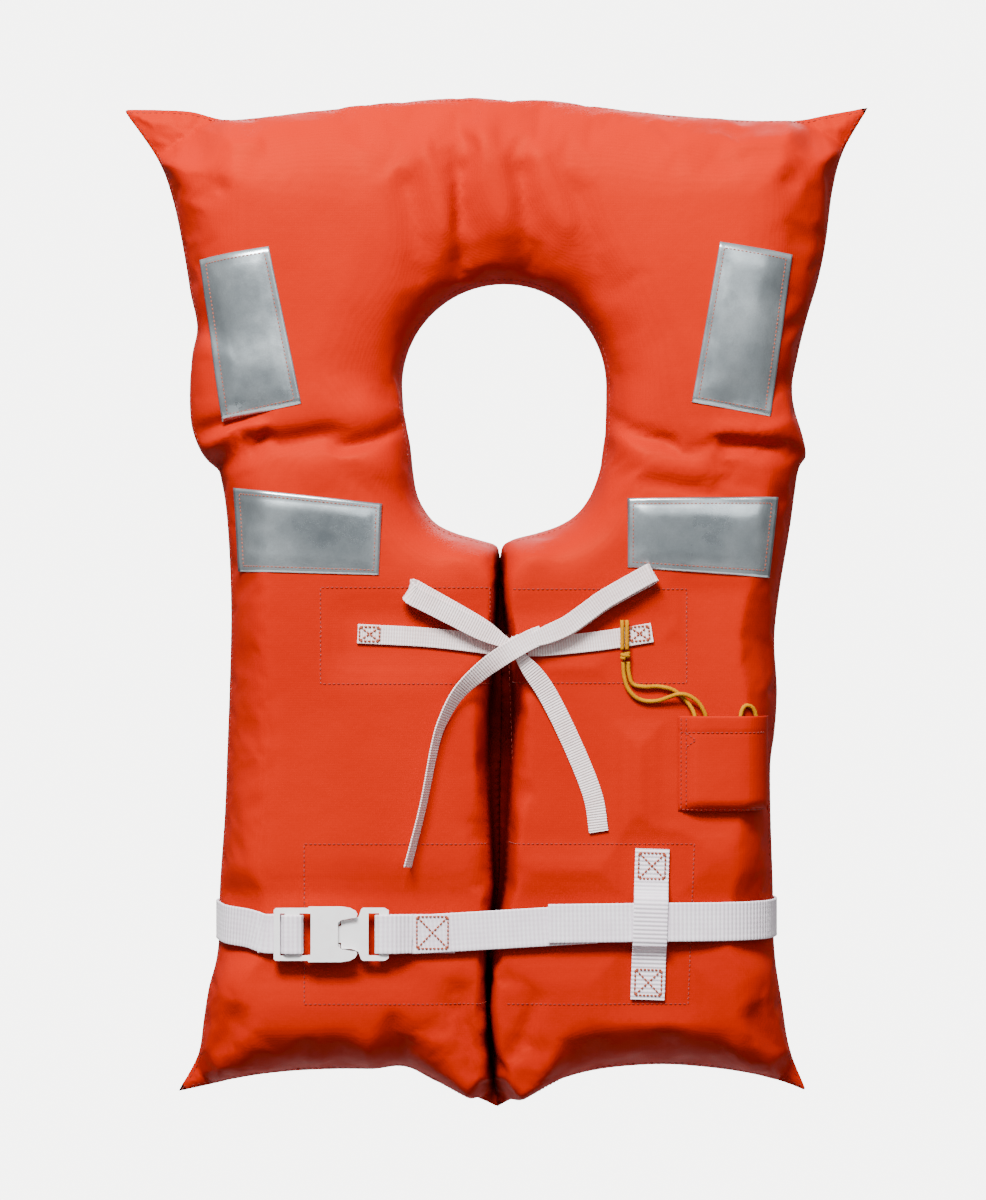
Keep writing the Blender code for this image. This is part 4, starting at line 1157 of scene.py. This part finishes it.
BACK_Y = BACK_DEPTH + CLEAR + WEBBING / 2  # y of the belt across the back
KEEPER_Y = -FRONT_DEPTH - CLEAR - WEBBING / 2


def add_belt_left():
    """From the back round the jacket's side and through the buckle's ladder bar, with its tail behind."""
    over, under, tail_y = BUCKLE_Y - 4.85, BUCKLE_Y + 3.5, BUCKLE_Y + 5.55
    threading = [(-158, tail_y), (-134, tail_y), (-130.5, tail_y - 0.6), (-129.2, tail_y - 2.4),
                 (-129.2, over + 2.2), (-130.3, over + 0.5), (-132.5, over), (-138.5, over),
                 (-140.7, over + 0.5), (-141.7, over + 2.2), (-141.7, under - 2.0), (-142.9, under - 0.4),
                 (-145.5, under), (-153, under + 0.2)]
    wrap = wrap_path(-185.5, -1, 148)
    path = [Vector((x, y, BUCKLE_Z)) for x, y in threading]
    for i, (x, y) in enumerate(wrap):
        path.append(Vector((x, y, BUCKLE_Z + (BELT_LEFT_Z - BUCKLE_Z) * min(1.0, (i + 2) / 4))))
    path.append(Vector((-139, BACK_Y, BELT_LEFT_Z)))
    add_webbing("belt_left", path)


def add_belt_right():
    """From the front, through the keeper and round the jacket's side to the back."""
    path = [Vector((29, -54.4, BELT_RIGHT_Z - 1)), Vector((60, -54.35, BELT_RIGHT_Z - 0.6)),
            Vector((90, -54.4, BELT_RIGHT_Z - 0.2)), Vector((112, -54.4, BELT_RIGHT_Z)),
            Vector((136, -51.5, BELT_RIGHT_Z))]
    path += [Vector((x, y, BELT_RIGHT_Z)) for x, y in wrap_path(177, 1, 140)]
    path.append(Vector((131, BACK_Y, BELT_RIGHT_Z)))
    add_webbing("belt_right", path)


def add_keeper():
    """The upright loop of webbing that holds the belt to the front."""
    route = [(-366, KEEPER_Y), (-386, KEEPER_Y - 0.2), (-394, -51.5), (-397.5, -55.2), (-402, -56.4),
             (-424, -56.4), (-428.5, -55.2), (-432, -51.5), (-440, KEEPER_Y - 0.2), (-463, KEEPER_Y)]
    top = route[0][0]
    path = [Vector((96 - (top - z) * KEEPER_LEAN, y, z)) for z, y in route]
    add_webbing("belt_keeper", path, Vector((1, 0, 0)), KEEPER_WIDTH)


def add_prong_webbing():
    """Through the prong's slot, folded back and sewn, and on to the middle of the belt."""
    low, high = BUCKLE_Y + 4.2, BUCKLE_Y - 2.85
    sewn = [(-31, low), (-62, low), (-70, BUCKLE_Y + 2.85), (-79, BUCKLE_Y + 2.85), (-81.2, BUCKLE_Y + 1.7),
            (-81.9, BUCKLE_Y), (-81.2, BUCKLE_Y - 1.7), (-79, high), (-71.5, high), (-65, BUCKLE_Y - 0.6),
            (-58, BUCKLE_Y + 2.15), (-50, BUCKLE_Y + 2.25), (60, BUCKLE_Y + 2.25)]
    rise = [0] * (len(sewn) - 1) + [6.5]
    path = [Vector((x, y, BUCKLE_Z + up)) for (x, y), up in zip(sewn, rise)]
    add_webbing("prong_webbing", path, body="prong")


add_belt_left()
add_belt_right()
add_webbing("belt_back", [Vector((-138.5, BACK_Y, BELT_LEFT_Z)), Vector((-4, BACK_Y, -413.6)),
                          Vector((130.5, BACK_Y, BELT_RIGHT_Z))])
add_keeper()
add_prong_webbing()


def box_and_cross(middle, size, lean):
    """A sewn box with a cross in it: its lines as (x, z) places."""
    (cx, cz), (w, h) = middle, (size[0] / 2, size[1] / 2)
    corners = [(-w, h), (w, h), (w, -h), (-w, -h)]
    corners = [(cx + x + lean * z, cz + z - lean * x) for x, z in corners]
    a, b, c, d = corners
    return [(a, b), (b, c), (c, d), (d, a), (a, c), (b, d)]


def flat_lines(lines, y):
    """Flat stitch lines at one depth, facing the front."""
    made = []
    for (x0, z0), (x1, z1) in lines:
        made.append(([(x0, y, z0), ((x0 + x1) / 2, y, (z0 + z1) / 2), (x1, y, z1)], [(0, -1, 0)] * 3))
    return made


TIE_TOP = LAID - 0.5 * TIE
BELT_TOP = BUCKLE_Y + 2.25 - 0.46 * WEBBING
KEEPER_TOP = KEEPER_Y - WEBBING * 0.48
# Sewn boxes: name, middle, size, lean, y of the tape's face, and the body they ride
BOXES = (
    ("tie_box_left", (-86.0, -227.9), (13.0, 9.2), 0.03, TIE_TOP, "fronts"),
    ("tie_box_right", (87.6, -227.6), (12.4, 9.2), -0.08, TIE_TOP, "fronts"),
    ("prong_box", (-45.5, -419.6), (20.0, 20.5), 0.0, BELT_TOP, "prong"),
    ("keeper_box_top", (95.6, -377.0), (17.0, 16.5), 0.03, KEEPER_TOP, "fronts"),
    ("keeper_box_low", (93.2, -452.0), (17.0, 16.5), 0.03, KEEPER_TOP, "fronts"),
)
for name, middle, size, lean, level, body in BOXES:
    lines = flat_lines(box_and_cross(middle, size, lean), level)
    box = add_stitches(f"{name}_stitches", lines, BROWN_THREAD, *BOX_STITCH)
    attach(box, body)


# ---------------------------------------------------------------- pocket, whistle cord

POCKET_TOP, POCKET_FOOT, POCKET_WALL = -280.5, -342.0, 0.8
HEM_LINE = 10.6  # the hem's stitch line, below the pocket's top


def pocket_points():
    """The pocket's sheet, bulging from its sewn sides and foot round the whistle: its points and rows."""
    top, bottom = POCKET_TOP, POCKET_FOOT
    plan = [(112.5, -49.0), (115.6, -51.0), (119.4, -54.2), (123.2, -56.1), (128, -56.8), (134, -56.9),
            (152, -56.7), (160, -54.6), (166, -49.2), (169.6, -42.5), (171.4, -33.5)]
    rows = smooth_route([(x, y, 0) for x, y in plan], 1.6)[:, :2]
    base = np.array([min(surface.at(x, -300)[0][1], -30.0) if x < 171 else y for x, y in rows])
    levels = np.concatenate([np.linspace(bottom, bottom + 8, 9), np.linspace(bottom + 10, top - 12, 20),
                             np.linspace(top - 11, top, 10)])
    points = []
    for z in levels:
        full = math.sqrt(max(0.0, 1 - (1 - min((z - bottom) / 8.5, 1)) ** 2))
        hem = 0.45 * math.exp(-(((z - (top - 5)) / 5.5) ** 4))
        hem -= 0.3 * math.exp(-(((z - (top - HEM_LINE)) / 0.8) ** 2))
        ripple = 0.5 * math.sin((z + 20) / 7.0) * smooth_step(z, bottom + 6, bottom + 22)
        for k, (x, y) in enumerate(rows):
            sheet = base[k] - 0.35 + (y - base[k]) * full
            slack = ripple * math.sin(math.pi * k / (len(rows) - 1)) ** 2
            points.append((x, sheet - hem - 0.25 * slack, z))
    return points, len(levels)


def add_pocket():
    """An open pouch sewn to the front, with its seams."""
    outer, levels = pocket_points()
    inner = [(x, y + POCKET_WALL, z) for x, y, z in outer]
    faces = slab_faces(levels, len(outer) // levels, flipped=True)
    pocket = link_mesh("whistle_pocket_sewn", outer + inner, faces, FABRIC)
    tree = BVHTree.FromPolygons(outer, [f for f in faces if max(f) < len(outer)])

    def on_pocket(places):
        made = []
        for (x0, z0), (x1, z1) in zip(places, places[1:]):
            steps = max(2, round(math.dist((x0, z0), (x1, z1)) / 2))
            made += [(x0 + (x1 - x0) * i / steps, z0 + (z1 - z0) * i / steps) for i in range(steps + 1)]
        hits = [tree.ray_cast(Vector((x, -200, z)), Vector((0, 1, 0))) for x, z in made]
        hits = [(point, normal) for point, normal, _, _ in hits if point is not None]
        return [tuple(p) for p, _ in hits], [tuple(-n if n.y > 0 else n) for _, n in hits]

    top, bottom = POCKET_TOP, POCKET_FOOT
    sewn = [((114.4, top - 1), (114.4, bottom + 1.2)), ((117.6, top - 1), (117.6, bottom + 3)),
            ((114.4, bottom + 1.4), (168, bottom + 1.4)), ((113.6, top - HEM_LINE), (168, top - HEM_LINE)),
            ((117.6, top - 11), (123.5, top - 15.5), (117.6, top - 20))]
    seams = add_stitches("pocket_stitches", [on_pocket(path) for path in sewn], ORANGE_THREAD, *PLAIN_STITCH)
    assign(pocket, "fronts", "whistle_pocket")
    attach(seams, "fronts")


add_pocket()

HITCH = ((78, -50.4, -219.4), (78, -51.1, -221), (78, -51.4, -224), (78, -51.4, -231), (78, -51.4, -235.4),
         (78, -51.2, -237.8))
STRANDS = {
    "lanyard_strand_a": (
        (80.3, -50.2, -245.8), (80.8, -49.9, -253), (83.4, -49.9, -260), (91, -49.9, -261.8),
        (100, -49.9, -261.6), (109.6, -49.9, -264), (116.8, -49.9, -269.9), (121.6, -51.2, -276.5),
        (123.4, -53.0, -283), (123.5, -53.8, -289), (125.2, -53.8, -293.6), (128.4, -53.8, -293.2),
        (130.4, -53.8, -290),
    ),
    "lanyard_strand_b": (
        (77.1, -50.2, -245.8), (77.6, -49.9, -254), (79.8, -49.9, -262), (84.5, -49.9, -268),
        (91, -49.9, -270.8), (99, -50.2, -270.8), (106, -51.8, -268.6), (112.5, -53.4, -266.5),
        (119, -53.2, -267.4), (126, -52.4, -272.6), (130.3, -51.6, -281.8), (129.2, -50.5, -292),
        (126.8, -50.3, -306), (126.6, -50.3, -320), (129.2, -50.3, -332), (135.6, -50.3, -338.4),
        (143, -50.2, -339.1), (151, -49.4, -337.6), (158, -47.2, -331), (161.6, -45.4, -318),
        (163, -44.6, -302), (163.2, -45.4, -286), (161.8, -46.8, -277.5), (158.6, -48.4, -274.2),
        (155.2, -49.6, -274.4), (153.0, -50.4, -278.4), (152.4, -50.7, -284), (152.3, -50.7, -289.5),
    ),
}


def add_lanyard():
    """Cord from the tie tape into the pocket: a hitch of two turns, a knot, and two strands."""
    for k, shift in enumerate((-1.55, 1.55)):
        turn = [(x + shift, y + (0.0 if k else -0.05), z) for x, y, z in HITCH]
        wrap, _ = add_twisted_cord(f"lanyard_hitch_{k}", turn, CORD)
        assign(wrap, "fronts", None if k else "lanyard_hitch")
    path = []
    for i in range(26):
        angle = 2 * math.pi * 1.75 * i / 25
        path.append((78.4 + 2.1 * math.cos(angle), -51.3 + 1.7 * math.sin(angle), -240.2 - 3.4 * i / 25))
    knot, _ = add_twisted_cord("lanyard_knot_turns", path, CORD * 0.9)
    assign(knot, "fronts", "lanyard_knot")
    for node, route in STRANDS.items():
        strand, centre = add_twisted_cord(f"{node}_cord", route, CORD)
        assign(strand, "fronts", node)


add_lanyard()


# ---------------------------------------------------------------- finish

MOULDED = {"buckle_socket": WHITE_PLASTIC, "buckle_prong": WHITE_PLASTIC, "prong_arm_upper": WHITE_PLASTIC,
           "prong_arm_lower": WHITE_PLASTIC, "whistle": WHISTLE_PLASTIC}
INNER_PATCHES = ("tie_patch_left", "tie_patch_right", "belt_patch_left", "belt_patch_right")
for name, material in (MOULDED | dict.fromkeys(INNER_PATCHES, LINING)).items():
    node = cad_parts[name]
    node.data.materials.clear()
    node.data.materials.append(material)
    if name in INNER_PATCHES:
        continue
    bevel = node.modifiers.new("Bevel", "BEVEL")
    bevel.width = 0.0007
    bevel.segments = 3
    bevel.limit_method = "ANGLE"
    bevel.angle_limit = math.radians(35)
    bevel.harden_normals = True
    node.data.shade_smooth()
